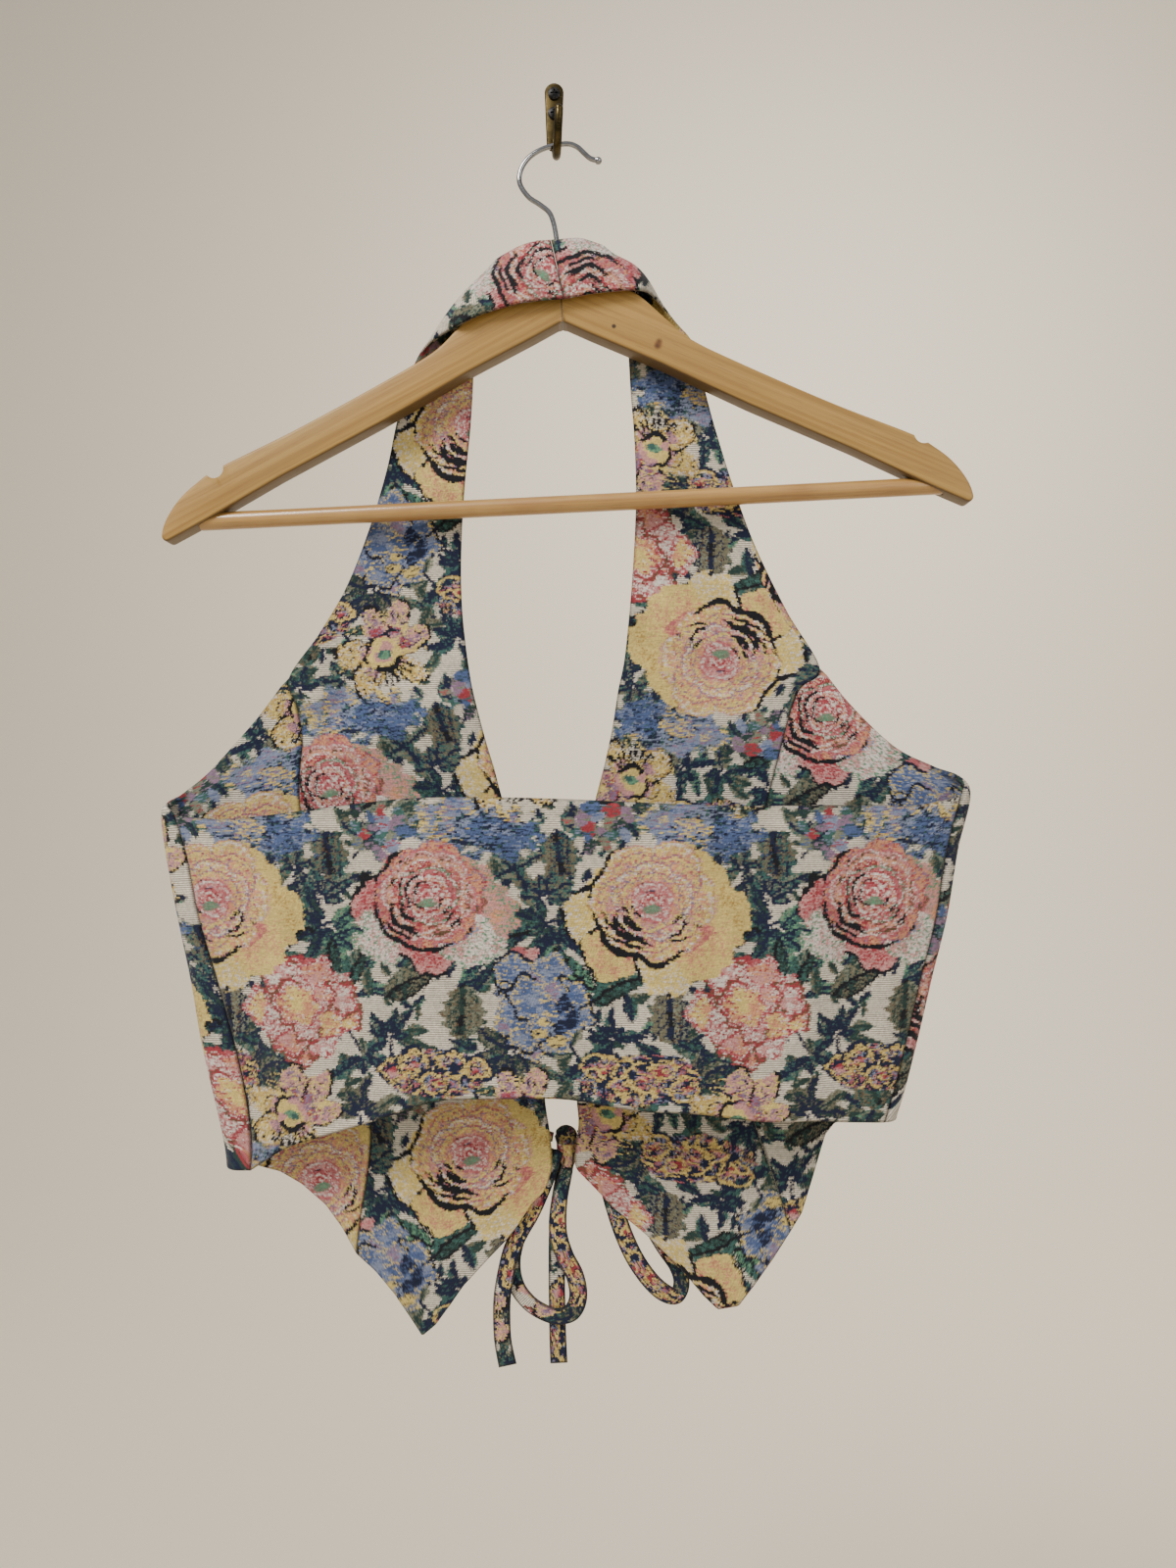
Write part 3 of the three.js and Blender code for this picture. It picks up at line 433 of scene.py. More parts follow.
            taper = 1 - np.abs((degrees - (low + high) / 2) / ((high - low) / 2)) ** 4
            bow_r = middle_r + 0.03 * np.sin(7 * theta)
            self.put((np.abs(r - bow_r) < half * taper) & (degrees > low) & (degrees < high), BLACK)
        a, b = self.local(x, y)
        heart = np.hypot(a / 6.5, b / 5) < 1
        curl = (np.hypot(a, b) / 2.7 - np.arctan2(b, a) / (2 * np.pi)) % 1
        self.put(heart & (curl < 0.55), CRIMSON, ROSE)
        self.put(heart & (curl >= 0.55), IVORY, PINK)
        self.put(np.hypot(a / 4.4, (b + 4.4) / 2.4) < 0.6 + 0.7 * self.tangle, MINT, SAGE)

    def ruffle(self, x: float, y: float, radius: float, count: int,
               bases: Sequence[Shades], rim: Shades, dark: Shades) -> None:
        """A ruffled bloom of many small petals with streaked rims."""
        for k in range(count, 0, -1):
            angle = 2.4 * k
            reach = 0.8 * radius * math.sqrt(k / count)
            size = radius * (0.36 + 0.1 * math.sin(1.9 * k))
            a, b = self.local(x + reach * math.cos(angle), y + 0.9 * reach * math.sin(angle),
                              math.degrees(angle))
            theta = np.arctan2(b, a)
            r = np.hypot(a, b * 1.2) / size
            r = r * (1 + 0.1 * np.sin(6 * theta + k) + 0.2 * (self.blots - 0.5))
            self.put((r < 1.16) & (r > 0.98) & (np.sin(theta + k) > -0.1), *dark)
            self.put(r < 1, *bases[k % len(bases)], by=0.6 * self.blots + 0.4 * self.weft)
            self.put((r < 1) & (r > 0.8), *rim)
            streak = (np.degrees(theta) / 26 + 0.3 * self.grain) % 1
            self.put((r < 0.8) & (r > 0.35) & (streak < 0.24), *rim)

    def scroll(self, x: float, y: float, across: float, up: float, phase: float) -> None:
        """A curled filigree of pale gold lines on a dark tangle with red hearts."""
        a, b = self.local(x, y)
        r = np.hypot(a / across, b / up) + 0.3 * (self.waves - 0.5)
        body = r < 1
        self.put(body, NAVY, ROSE, MAUVE, POWDER, NAVY, by=0.7 * self.blots + 0.3 * self.grain)
        for k in range(5):
            p, q = self.local(x + across * 0.72 * (k / 2 - 1), y + 0.45 * up * math.sin(2.3 * k + phase))
            curl = np.hypot(p, q * 1.2) + 5 * (self.tangle - 0.5)
            line = 6.4 + 1.4 * math.sin(3 * k + phase) + np.arctan2(q, p) / np.pi
            self.put(np.abs(curl - line) < 1, YELLOW, YELLOW, OCHRE)
            self.put((np.abs(curl - line - 2) < 1) & (self.waves > 0.3), NAVY)
            self.put(curl < 2.6, CRIMSON, ROSE, PINK, by=self.blots)
        ways = (4.6 * self.tangle) % 1
        self.put(body & (np.abs(ways - 0.3) < 0.1), YELLOW, OCHRE, shares=(0.8, 0.2))
        self.put(body & (np.abs(ways - 0.52) < 0.09), NAVY)

    def pansy(self, x: float, y: float, size: float, turn: float) -> None:
        """A yellow bloom with a flame of pink and mauve above and black lashes below."""
        butter = ((YELLOW, OCHRE, YELLOW), (IVORY, OCHRE), (PINK, MAUVE))
        flame = ((PINK, MAUVE), (PINK, YELLOW), (MAUVE, CRIMSON))
        for angle, reach, along, across, yarns in (
            (60, 0.75, 0.66, 0.34, flame), (100, 0.7, 0.6, 0.3, flame), (20, 0.7, 0.56, 0.3, flame),
            (170, 0.62, 0.6, 0.36, butter), (225, 0.66, 0.56, 0.34, butter), (320, 0.6, 0.56, 0.3, butter),
        ):
            t = math.radians(angle + turn)
            self.petal(x + reach * size * math.cos(t), y + reach * size * math.sin(t),
                       along * size, across * size, angle + turn, yarns, True)
        a, b = self.local(x, y, turn)
        theta = np.degrees(np.arctan2(b, a)) % 360
        r = np.hypot(a, b) / size * (1 + 0.2 * (self.blots - 0.5))
        ways = (3.7 * self.tangle + 0.4 * r) % 1
        bloom = (r < 1.15) & ~self.ground()
        self.put(bloom & (np.abs(ways - 0.4) < 0.055), NAVY, BLACK)
        self.put(bloom & (np.abs(ways - 0.62) < 0.08), YELLOW)
        self.put(r < 0.42, YELLOW, YELLOW, PINK, by=self.blots)
        lash = ((theta / 13 + 0.25 * self.grain) % 1 < 0.5) & (theta > 235) & (theta < 335)
        self.put((r > 0.34) & (r < 0.82) & lash, BLACK)
        self.put((np.abs(r - 0.36) < 0.07) & (theta > 225) & (theta < 345), BLACK)
        self.put(np.hypot(a / (0.2 * size), b / (0.12 * size)) < 1, TEAL, MINT, by=self.blots)
        self.put((np.abs(r - 0.46) < 0.05) & (theta > 110) & (theta < 200), BLACK)

    def cluster(self, x: float, y: float, across: float, up: float, turn: float) -> None:
        """A head of small blue flowers, paler and flecked with yellow on its left, darker on its right."""
        a, b = self.local(x, y, turn)
        r = np.hypot(a / across, b / up) + 0.7 * (self.blots - 0.5) + 0.25 * (self.weft - 0.5)
        side = a / across + 0.9 * (self.waves - 0.5) - 0.7 * b / up
        body = r < 0.96
        self.put((r < 1.15) & (self.weft > 0.5), NAVY, TEAL, SAGE)
        self.put(body & (side < 0.15), POWDER, BLUE, MAUVE, shares=(0.7, 0.15, 0.15), by=self.weft)
        self.put(body & (side >= 0.15), BLUE, POWDER, NAVY, shares=(0.62, 0.2, 0.18),
                 by=0.5 * self.blots + 0.5 * self.weft)
        dash = 0.5 * self.weft + 0.5 * np.roll(self.blots, 19, axis=1)
        self.put(body & (dash > 0.62) & (side > -0.6), NAVY, TEAL, shares=(0.8, 0.2))
        self.put(body & (dash < 0.3) & (side < 0.3), YELLOW, OCHRE, shares=(0.8, 0.2))

    def sprigs(self, x: float, y: float, count: int, spread: float, yarns: Sequence[Yarn]) -> None:
        """Small buds scattered about a point."""
        for k in range(count):
            angle = 2.4 * k + y
            reach = spread * math.sqrt((k + 0.5) / count)
            a, b = self.local(x + 1.3 * reach * math.cos(angle), y + reach * math.sin(angle), 60 * k)
            size = 2.1 + 1.5 * ((k * 7) % 5) / 4
            r = np.hypot(a / (1.6 * size), b / size) + 0.5 * (self.blots - 0.5)
            pair = yarns[k % len(yarns)], yarns[(k + 1) % len(yarns)]
            self.put(r < 1, *pair, shares=(0.8, 0.2), by=self.weft)

    def fill(self, count: int, size: float) -> None:
        """Small leaves wherever the ground lies bare, until most of it is covered."""
        tones = ((TEAL, PINE), (OLIVE, TEAL), (TEAL, NAVY),
                 (SAGE, OLIVE), (MINT, TEAL), (OLIVE, PINE))
        for k in range(count):
            x = self.rng.random() * self.WIDTH
            y = self.rng.random() * self.HEIGHT
            turn = 360 * self.rng.random()
            a, b = self.local(x, y)
            near = np.hypot(a, b) < 0.9 * size
            bare = self.ground()[near].mean()
            if 0.26 < bare < 0.97:
                self.leaf(x, y, size * (0.8 + 0.5 * self.rng.random()), 0.5 * size, turn,
                          *tones[k % len(tones)], (NAVY, PINE)[k % 2], over=False)

    def draw(self) -> None:
        """Draws the foliage and then the flowers over it."""
        for x, y, turn, count, size, light, dark in (
            (60, -2, 80, 6, 21, OLIVE, TEAL), (62, -14, 200, 5, 22, TEAL, PINE),
            (66, -18, 320, 5, 20, TEAL, NAVY), (-58, -2, 80, 6, 21, SAGE, TEAL),
            (-56, -16, 200, 5, 22, TEAL, PINE), (-52, -20, 320, 5, 20, MINT, TEAL),
            (46, 14, 110, 4, 15, SAGE, TEAL), (-72, 14, 100, 4, 15, OLIVE, TEAL),
            (36, -34, 260, 4, 18, TEAL, PINE), (150, -36, 280, 4, 18, TEAL, PINE),
            (44, -82, 230, 5, 24, OLIVE, PINE), (152, -86, 240, 5, 24, TEAL, PINE),
            (-20, -74, 90, 5, 15, TEAL, NAVY), (96, -76, 90, 5, 15, TEAL, NAVY),
            (-6, 56, 90, 4, 15, TEAL, PINE), (112, 58, 100, 4, 15, TEAL, PINE),
            (-34, 30, 60, 5, 14, TEAL, SAGE), (84, 32, 70, 5, 14, TEAL, SAGE),
            (-36, -84, 300, 4, 20, TEAL, NAVY), (80, -88, 300, 4, 18, TEAL, NAVY),
            (20, 88, 120, 4, 18, TEAL, PINE), (142, 86, 60, 4, 18, OLIVE, PINE),
            (86, 66, 100, 5, 18, TEAL, NAVY), (-36, 68, 80, 5, 18, OLIVE, PINE),
            (20, 58, 150, 4, 16, SAGE, TEAL), (134, 58, 170, 4, 16, TEAL, NAVY),
        ):
            self.spray(x, y, turn, count, size, light, dark)
        for x, y, length, width, turn, light, dark in (
            (-9, -47, 32, 17, 28, OLIVE, PINE), (100, -49, 32, 17, 26, TEAL, PINE),
            (-38, -38, 26, 13, 60, TEAL, PINE), (78, -40, 26, 14, 130, MINT, TEAL),
            (66, -36, 22, 12, 85, MINT, TEAL), (-52, -34, 22, 12, 95, TEAL, PINE),
            (46, -22, 22, 11, 20, TEAL, NAVY), (-70, -22, 22, 11, 25, TEAL, NAVY),
            (-30, 50, 20, 11, 210, SAGE, TEAL), (92, 50, 20, 11, 200, TEAL, PINE),
        ):
            self.leaf(x, y, length, width, turn, light, dark)
        self.fill(190, 15)
        self.fill(210, 9)
        for x, y, length, width, turn, yarns in (
            (18, -61, 29, 23, 268, (OLIVE, SAGE, PINE)), (127, -63, 30, 24, 272, (OLIVE, SAGE, NAVY)),
            (69, 22, 26, 20, 280, (OLIVE, TEAL, NAVY)), (-53, 21, 26, 20, 276, (OLIVE, TEAL, NAVY)),
            (-2, 82, 30, 22, 300, (TEAL, OLIVE, PINE)), (116, 84, 28, 22, 250, (OLIVE, TEAL, PINE)),
        ):
            self.broad_leaf(x, y, length, width, turn, yarns)
        self.sprigs(-27, 34, 16, 13, (MAUVE, TEAL, POWDER, CRIMSON, SAGE, BLUE, PINE))
        self.sprigs(90, 36, 16, 13, (MAUVE, SAGE, CRIMSON, TEAL, POWDER, BLUE, PINE))
        self.sprigs(50, -34, 6, 5, (CRIMSON, PINK, ROSE))
        self.sprigs(168, -38, 6, 5, (ROSE, CRIMSON, IVORY))
        self.cluster(25, 36, 31, 15, -12)
        self.cluster(142, 36, 31, 15, -10)
        self.scroll(3, -93, 30, 13, 0)
        self.scroll(112, -96, 30, 13, 1.7)
        blush = ((PINK, IVORY), (PEACH, YELLOW), (IVORY, PINK), (PEACH, PINK))
        self.ruffle(-66, -62, 29, 17, blush, (ROSE, CRIMSON, IVORY), (CRIMSON, BROWN))
        sky = ((POWDER, MAUVE), (BLUE, POWDER), (POWDER, BLUE))
        self.ruffle(58, -58, 27, 15, sky, (POWDER, BLUE, YELLOW), (NAVY, BLACK))
        self.sprigs(64, -66, 9, 12, (YELLOW, NAVY, BLUE))
        self.pansy(44, -118, 22, 0)
        self.pansy(162, -118, 21, -12)
        self.rose(0, 0, 31, 0, PINK_SKIRT, PINK_RINGS)
        self.rose(117, -3, 35, 8, YELLOW_SKIRT, YELLOW_RINGS)

    def weave(self) -> Array:
        """Colours of the threads, with ragged edges between the yarns and uneven dye."""
        shift = self.rng.integers(-1, 2, self.yarn.shape)
        row, column = np.indices(self.yarn.shape)
        self.yarn = self.yarn[row, (column + shift) % self.columns]
        palette = np.array([yarn.value for yarn in YARNS], float) / 255
        light = 1 + 0.2 * (self.rng.random(self.yarn.shape) - 0.5) + 0.08 * (self.waves - 0.5)
        light += 0.08 * (self.rng.random((self.rows, 1)) - 0.5)
        return linear(np.clip(palette[self.yarn] * light[..., None], 0, 1))

    def look_up(self, places: Array) -> tuple[Array, Array]:
        """The cloth at places on it.

        Args:
            places: points in the flat of the cloth, in millimetres, as an array (n, 2).

        Returns:
            The linear colours (n, 3), and which places show the plain ground.
        """
        i = np.floor(places[:, 0] / self.WIDTH * self.columns).astype(int) % self.columns
        j = np.floor(places[:, 1] / self.HEIGHT * self.rows).astype(int) % self.rows
        return self.colour[j, i], self.ground()[j, i]


YELLOW_SKIRT = (
    ((YELLOW, YELLOW, OCHRE), (YELLOW,), (PINK, YELLOW)),
    ((YELLOW,), (YELLOW, IVORY), (PEACH, YELLOW)),
    ((YELLOW, PEACH), (YELLOW,), (ROSE, PEACH)),
)
YELLOW_RINGS = (
    ((IVORY,), (ROSE, CRIMSON), (MAUVE, CRIMSON)),
    ((IVORY, PINK), (PINK, ROSE), (ROSE,)),
    ((YELLOW,), (PINK, PEACH), (MAUVE, ROSE)),
    ((YELLOW, IVORY), (PINK, YELLOW), (MAUVE, ROSE)),
    ((YELLOW,), (YELLOW, PEACH, PINK), (ROSE, MAUVE)),
    ((YELLOW, IVORY), (YELLOW, PEACH), (PINK, OCHRE)),
)
PINK_SKIRT = (
    ((PEACH, PINK), (PINK, MINT), (ROSE, BROWN)),
    ((ROSE, CRIMSON), (PINK,), (CRIMSON,)),
    ((PINK, IVORY), (IVORY, MINT), (PEACH, POWDER)),
)
PINK_RINGS = (
    ((IVORY,), (CRIMSON,), (MINT, CRIMSON)),
    ((IVORY, PINK), (ROSE, CRIMSON), (CRIMSON,)),
    ((IVORY,), (PINK, PEACH), (CRIMSON, ROSE)),
    ((IVORY, MINT), (ROSE,), (ROSE, BROWN)),
    ((PINK, IVORY), (ROSE, CRIMSON), (PEACH,)),
    ((IVORY, PINK), (PINK, BROWN), (ROSE,)),
    ((PEACH,), (ROSE, PEACH), (CRIMSON, MAUVE)),
)


@dataclass(frozen=True)
class Lay:
    """How the cloth's pattern lies on a cut piece: the pattern's own point that falls on a place.

    The drift is how much further the pattern has moved on at the second height than at the first.
    """

    place: Pair
    shows: Pair = (0.0, 0.0)
    turn: float = 0.0
    seen_from_behind: bool = False
    drift: Pair = (0.0, 0.0)
    drift_down: Pair = (-430.0, -530.0)

    def on_cloth(self, flat: Array) -> Array:
        """Places on the cloth for places on the flat cut, both in millimetres."""
        d = flat - np.array(self.place)
        if self.seen_from_behind:
            d = d * np.array([-1, 1])
        c, s = math.cos(math.radians(self.turn)), math.sin(math.radians(self.turn))
        first, last = self.drift_down
        share = np.clip((flat[:, 1:] - first) / (last - first), 0, 1)
        return d @ np.array([[c, -s], [s, c]]) + np.array(self.shows) + share * np.array(self.drift)


@dataclass
class Patch:
    """Rows of points on a cloth's middle surface, with their normals and places on the flat cut."""

    points: Array
    normals: Array
    flat: Array


@dataclass
class Wall:
    """A closed wall of cloth, made of patches joined end to end, each as fine as the last or twice so."""

    name: str
    patches: list[Patch]
    half: float
    outer: Lay
    inner: Lay
    rolled: Callable[[Array, Array], Array] | None = None
    edge_shade_width: float = 0.0
    edge_radius: float = 1.5

    def rows(self) -> list[Array]:
        """Numbers of the points in each row, the shared rows once."""
        rows, start = [], 0
        for k, patch in enumerate(self.patches):
            last = len(patch.points) - (1 if k < len(self.patches) - 1 else 0)
            width = patch.points.shape[1]
            rows += [start + i * width + np.arange(width) for i in range(last)]
            start += last * width
        return rows

    def stacked(self, values: Iterable[Array]) -> Array:
        """The patches' values in the order of their points, the shared rows once."""
        parts = list(values)
        cut = [part[:-1] if k < len(parts) - 1 else part for k, part in enumerate(parts)]
        return np.concatenate([part.reshape(-1, part.shape[-1]) for part in cut])

    def sheet_faces(self, rows: list[Array]) -> list[tuple[int, ...]]:
        """Faces between the rows: four-sided, or five-sided where the columns double."""
        faces: list[tuple[int, ...]] = []
        for near, far in zip(rows, rows[1:]):
            if len(near) == len(far):
                corners = (near[:-1], near[1:], far[1:], far[:-1])
            else:
                corners = (near[:-1], near[1:], far[2::2], far[1::2], far[:-2:2])
            faces += list(zip(*(corner.tolist() for corner in corners)))
        return faces

    def build(self, cloth: Tapestry) -> Piece:
        """Makes the wall's mesh with its printed colours.

        Args:
            cloth: the cloth that it is cut from.

        Returns:
            The new object.
        """
        rows = self.rows()
        points = self.stacked(p.points for p in self.patches)
        normals = self.stacked(p.normals for p in self.patches)
        flat = self.stacked(p.flat for p in self.patches)
        edge = self.stacked(self.edge_distance(p)[..., None] for p in self.patches)
        share = np.clip(edge / self.edge_radius, 0, 1)
        thickness = self.half * np.sqrt(1 - (1 - share) ** 2 * 0.94)
        count = len(points)
        vertices = np.concatenate([points + normals * thickness, points - normals * thickness])
        sheet = self.sheet_faces(rows)
        border = np.concatenate([rows[0], [row[-1] for row in rows[1:]], rows[-1][-2::-1],
                                 [row[0] for row in rows[-2:0:-1]]])
        ahead = np.roll(border, -1)
        rim = list(zip(ahead.tolist(), (ahead + count).tolist(), (border + count).tolist(), border.tolist()))
        faces = [face[::-1] for face in sheet] + [tuple(n + count for n in face) for face in sheet] + rim
        mesh = bpy.data.meshes.new(self.name)
        mesh.from_pydata((vertices * MM).tolist(), [], faces)
        places = np.concatenate([flat, flat])
        side = np.repeat([0, 1, 1], [len(sheet), len(sheet), len(rim)])
        self.paint(mesh, cloth, places, side, np.tile(edge[:, 0], 2))
        piece = new_object(self.name, mesh)
        face_out(mesh)
        mesh.shade_smooth()
        mesh.materials.append(TAPESTRY_CLOTH.material())
        return piece

    def edge_distance(self, patch: Patch) -> Array:
        """How far each point of a patch lies from the nearest edge that is rounded off."""
        points = patch.points
        across = np.linalg.norm(np.diff(points, axis=1), axis=2)
        run = np.concatenate([np.zeros((len(points), 1)), np.cumsum(across, axis=1)], axis=1)
        distance = np.minimum(run, run[:, -1:] - run)
        along = np.linalg.norm(np.diff(points, axis=0), axis=2)
        down = np.concatenate([np.zeros((1, points.shape[1])), np.cumsum(along, axis=0)])
        if patch is self.patches[0]:
            distance = np.minimum(distance, down)
        if patch is self.patches[-1]:
            distance = np.minimum(distance, down[-1:] - down)
        return np.minimum(distance, FAR_FROM_EDGE)

    def paint(self, mesh: bpy.types.Mesh, cloth: Tapestry, places: Array, side: Array, edge: Array) -> None:
        """Gives the mesh its flat cut and the cloth's colours, corner by corner.

        Args:
            mesh: the wall's mesh.
            cloth: the cloth that it is cut from.
            places: each vertex's place on the flat cut.
            side: nothing for a face of the shell side, and one for the others.
            edge: each vertex's distance from the nearest edge.
        """
        totals = values_of(mesh.polygons, "loop_total", kind=int)
        corners = values_of(mesh.loops, "vertex_index", kind=int)
        starts = np.concatenate([[0], np.cumsum(totals)[:-1]])
        uv = places[corners]
        middle = np.repeat(np.add.reduceat(uv, starts, axis=0) / totals[:, None], totals, axis=0)
        threads = (uv + middle) / 2
        side = np.repeat(side, totals)
        near = edge[corners]
        shown = np.where(side[:, None] == 0, self.outer.on_cloth(threads), self.inner.on_cloth(threads))
        if self.rolled is not None:
            over = (side == 1) & self.rolled(threads, near)
            shown[over] = self.outer.on_cloth(threads)[over]
        colours, ground = cloth.look_up(shown)
        # Painted shade: corners nearer an edge than this width are darkened towards the navy edge tone.
        if self.edge_shade_width:
            colours = np.where((near < self.edge_shade_width)[:, None], 0.3 * colours + 0.7 * np.array(EDGE_SHADE_TONE), colours)
        dress(mesh, uv, colours, ground, near)


def dress(mesh: bpy.types.Mesh, flat: Array, colours: Array, ground: Array, edge: Array) -> None:
    """Writes what the cloth's finish reads into a mesh, corner by corner.

    Args:
        mesh: the mesh of a cloth piece.
        flat: places on the flat cut, in millimetres.
        colours: the yarns' linear colours.
        ground: which corners show the plain ground.
        edge: distances from the nearest edge, in millimetres.
    """
    mesh.uv_layers.new(name="cut").data.foreach_set("uv", (flat * MM).astype(np.float32).ravel())
    colour = mesh.color_attributes.new("print", "FLOAT_COLOR", "CORNER")
    rgba = np.concatenate([colours, np.ones((len(colours), 1))], axis=1)
    colour.data.foreach_set("color", rgba.astype(np.float32).ravel())
    for name, values in (("ground", ground), ("edge", edge)):
        layer = mesh.attributes.new(name, "FLOAT", "CORNER")
        layer.data.foreach_set("value", values.astype(np.float32))


def values_of(items: bpy.types.bpy_prop_collection, what: str, width: int = 1, kind: type = float) -> Array:
    """A value of all of a mesh's vertices, corners or faces, in rows where it is a wide one."""
    values = np.zeros(len(items) * width, kind)
    items.foreach_get(what, values)
    return values.reshape(-1, width) if width > 1 else values


def new_object(name: str, data: bpy.types.ID) -> Piece:
    """A mesh, a lamp or a camera as an object of the scene."""
    piece = bpy.data.objects.new(name, data)
    bpy.context.scene.collection.objects.link(piece)
    return piece


def face_out(mesh: bpy.types.Mesh) -> None:
    """Turns the faces of a closed mesh round if they point into it."""
    mesh.calc_loop_triangles()
    corners = values_of(mesh.loop_triangles, "vertices", 3, int)
    a, b, c = values_of(mesh.vertices, "co", 3)[corners].transpose(1, 0, 2)
    if (a * np.cross(b, c)).sum() < 0:
        mesh.flip_normals()


def grid_normals(points: Array, sign: float) -> Array:
    """Normals of rows of points, turned to the shell side by the sign."""
    along = np.gradient(points, axis=0)
    across = np.gradient(points, axis=1)
    return sign * unit(np.cross(across, along))


@dataclass(frozen=True)
class Crease:
    """A soft fold in the hung cloth, from one place to another in x and z."""

    x: float
    z: float
    to_x: float
    to_z: float
    depth: float
    width: float

    def at(self, x: Array, z: Array) -> Array:
        """How far the fold lifts the cloth away from the room at places in x and z."""
        dx, dz = self.to_x - self.x, self.to_z - self.z
        length = math.hypot(dx, dz)
        along = ((x - self.x) * dx + (z - self.z) * dz) / length
        across = ((x - self.x) * dz - (z - self.z) * dx) / length
        share = np.clip(along / length, -0.3, 1.3)
        fade = np.clip(np.sin(np.pi * (share + 0.3) / 1.6), 0, 1)
        return self.depth * fade * np.exp(-((across / self.width) ** 2))


def creased(points: Array, normals: Array, creases: Sequence[Crease]) -> Array:
    """The points moved along their normals by the creases."""
    lift = sum((c.at(points[..., 0], points[..., 2]) for c in creases), np.zeros(points.shape[:2]))
    return points + normals * lift[..., None]


@dataclass(frozen=True)
class Half:
    """One side of the front: its tables, and the surfaces that they give."""

    name: str
    side: int
    strap: Sequence[Sequence[float]]
    front: Sequence[Sequence[float]]
    point: Sequence[Pair]
    hem: Sequence[Pair]

    def edges(self) -> Array:
        """Rows of the armhole edge or princess seam, the neckline edge and the bow, from neck to hem."""
        strap = np.array(self.strap, float)
        front = np.array(self.front, float)[:, :6]
        bow = np.full((len(front), 1), FRONT_BOW)
        return np.concatenate([strap, np.concatenate([front, bow], axis=1)])

    def last_place(self) -> float:
        """The place of the hem along the strap and the centre front."""
        return len(self.strap) + len(self.front) - 1.0

    def centre(self, place: Array, across: Array) -> Array:
        """Points of the strap and centre front.

        Args:
            place: places along it, from the neck to the hem.
            across: shares of the way from the armhole edge, for each place.

        Returns:
            The points, an array (places, shares, 3).
        """
        rows = self.edges()
        value = smooth(rows, place)
        out, inner, bow = value[:, :3], value[:, 3:6], value[:, 6]
        ahead = smooth(rows, np.minimum(place + 0.5, self.last_place()))[:, :3]
        behind = smooth(rows, np.maximum(place - 0.5, 0))[:, :3]
        shell_side = -self.side * unit(np.cross(inner - out, ahead - behind))
        points = out[:, None] + (inner - out)[:, None] * across[..., None]
        points = points + shell_side[:, None] * (4 * bow[:, None] * across * (1 - across))[..., None]
        points[..., 2] -= self.hem_weight(place)[:, None] * self.drop(self.point, across)
        return points

    def hem_weight(self, place: Array) -> Array:
        """How much of the hem's shape a row of the centre front has."""
        front = np.array(self.front, float)[:, 6:7]
        weight = smooth(front, np.maximum(place - len(self.strap), 0))[:, 0]
        return np.where(place > len(self.strap), np.clip(weight, 0, None), 0)

    @staticmethod
    def drop(table: Sequence[Pair], across: Array) -> Array:
        """A hem's drop at shares of the way across."""
        shares, drops = np.array(table, float).T
        return np.interp(across, shares, drops)

    def side_front(self, place: Array, across: Array) -> tuple[Array, Array]:
        """Points of the side front and their places on the flat cut.

        Args:
            place: places from the top of the princess seam to the hem.
            across: shares of the way from the princess seam to the armhole or side seam.

        Returns:
            The points (places, shares, 3) and the flat places (places, shares, 2).
        """
        value = smooth(np.array(self.front, float), place)[:, :, None]
        seam = smooth(self.edges(), place + len(self.strap))[:, :3, None]
        weight = np.maximum(value[:, 6], 0)
        edge_x, edge_y, edge_z = value[:, 7], value[:, 8], value[:, 9]
        turn = np.radians(np.clip(value[:, 10], 0, 180))
        back = np.maximum(value[:, 11], 0)
        radius = SIDE_FOLD_RADIUS
        centre_x = edge_x - self.side * radius * np.sin(np.minimum(turn, np.pi / 2))
        level_run = np.hypot(centre_x - seam[:, 0], edge_z - seam[:, 2])
        run = across * (level_run + radius * turn + back)
        level = np.minimum(run / level_run, 1)
        ease = level * level * (3 - 2 * level)
        drop = self.drop(self.hem, level) * weight
        angle = np.minimum(np.maximum(run - level_run, 0) / radius, turn)
        beyond = np.maximum(run - level_run - radius * turn, 0)
        x = seam[:, 0] + (centre_x - seam[:, 0]) * level + self.side * (radius * np.sin(angle) - beyond)
        y = seam[:, 1] + (edge_y - seam[:, 1]) * ease - radius * (1 - np.cos(angle))
        z = seam[:, 2] + (edge_z - seam[:, 2]) * level - drop
        u = seam[:, 0] + (centre_x - seam[:, 0]) / level_run * run
        v = seam[:, 2] + (edge_z - seam[:, 2]) / level_run * run - drop
        return np.stack([x, y, z], axis=-1), np.stack([u, v], axis=-1)


def unroll(out: Array, inner: Array) -> tuple[Array, Array]:
    """Lays the strip between two edges flat, section by section, keeping its lengths.

    Args:
        out: points of one edge.
        inner: points of the other edge, one for each.

    Returns:
        The flat places of both edges.
    """
    def meet(a: Array, ra: float, b: Array, rb: float, turn: float) -> Array:
        """The point at two distances from two others, on the side that the turn gives."""
        d = np.linalg.norm(b - a)
        x = (d * d + ra * ra - rb * rb) / (2 * d)
        y = math.sqrt(max(ra * ra - x * x, 0)) * turn
        e = (b - a) / d
        return a + e * x + np.array([-e[1], e[0]]) * y

    first = np.linalg.norm(inner[0] - out[0])
    a, b = [np.zeros(2)], [np.array([first, 0.0])]
    for i in range(1, len(out)):
        to_out = np.linalg.norm(out[i] - out[i - 1])
        aslant = np.linalg.norm(out[i] - inner[i - 1])
        a.append(meet(a[-1], to_out, b[-1], aslant, -1))
        width = np.linalg.norm(inner[i] - out[i])
        to_in = np.linalg.norm(inner[i] - inner[i - 1])
        b.append(meet(a[-1], width, b[-1], to_in, -1))
    return np.array(a), np.array(b)


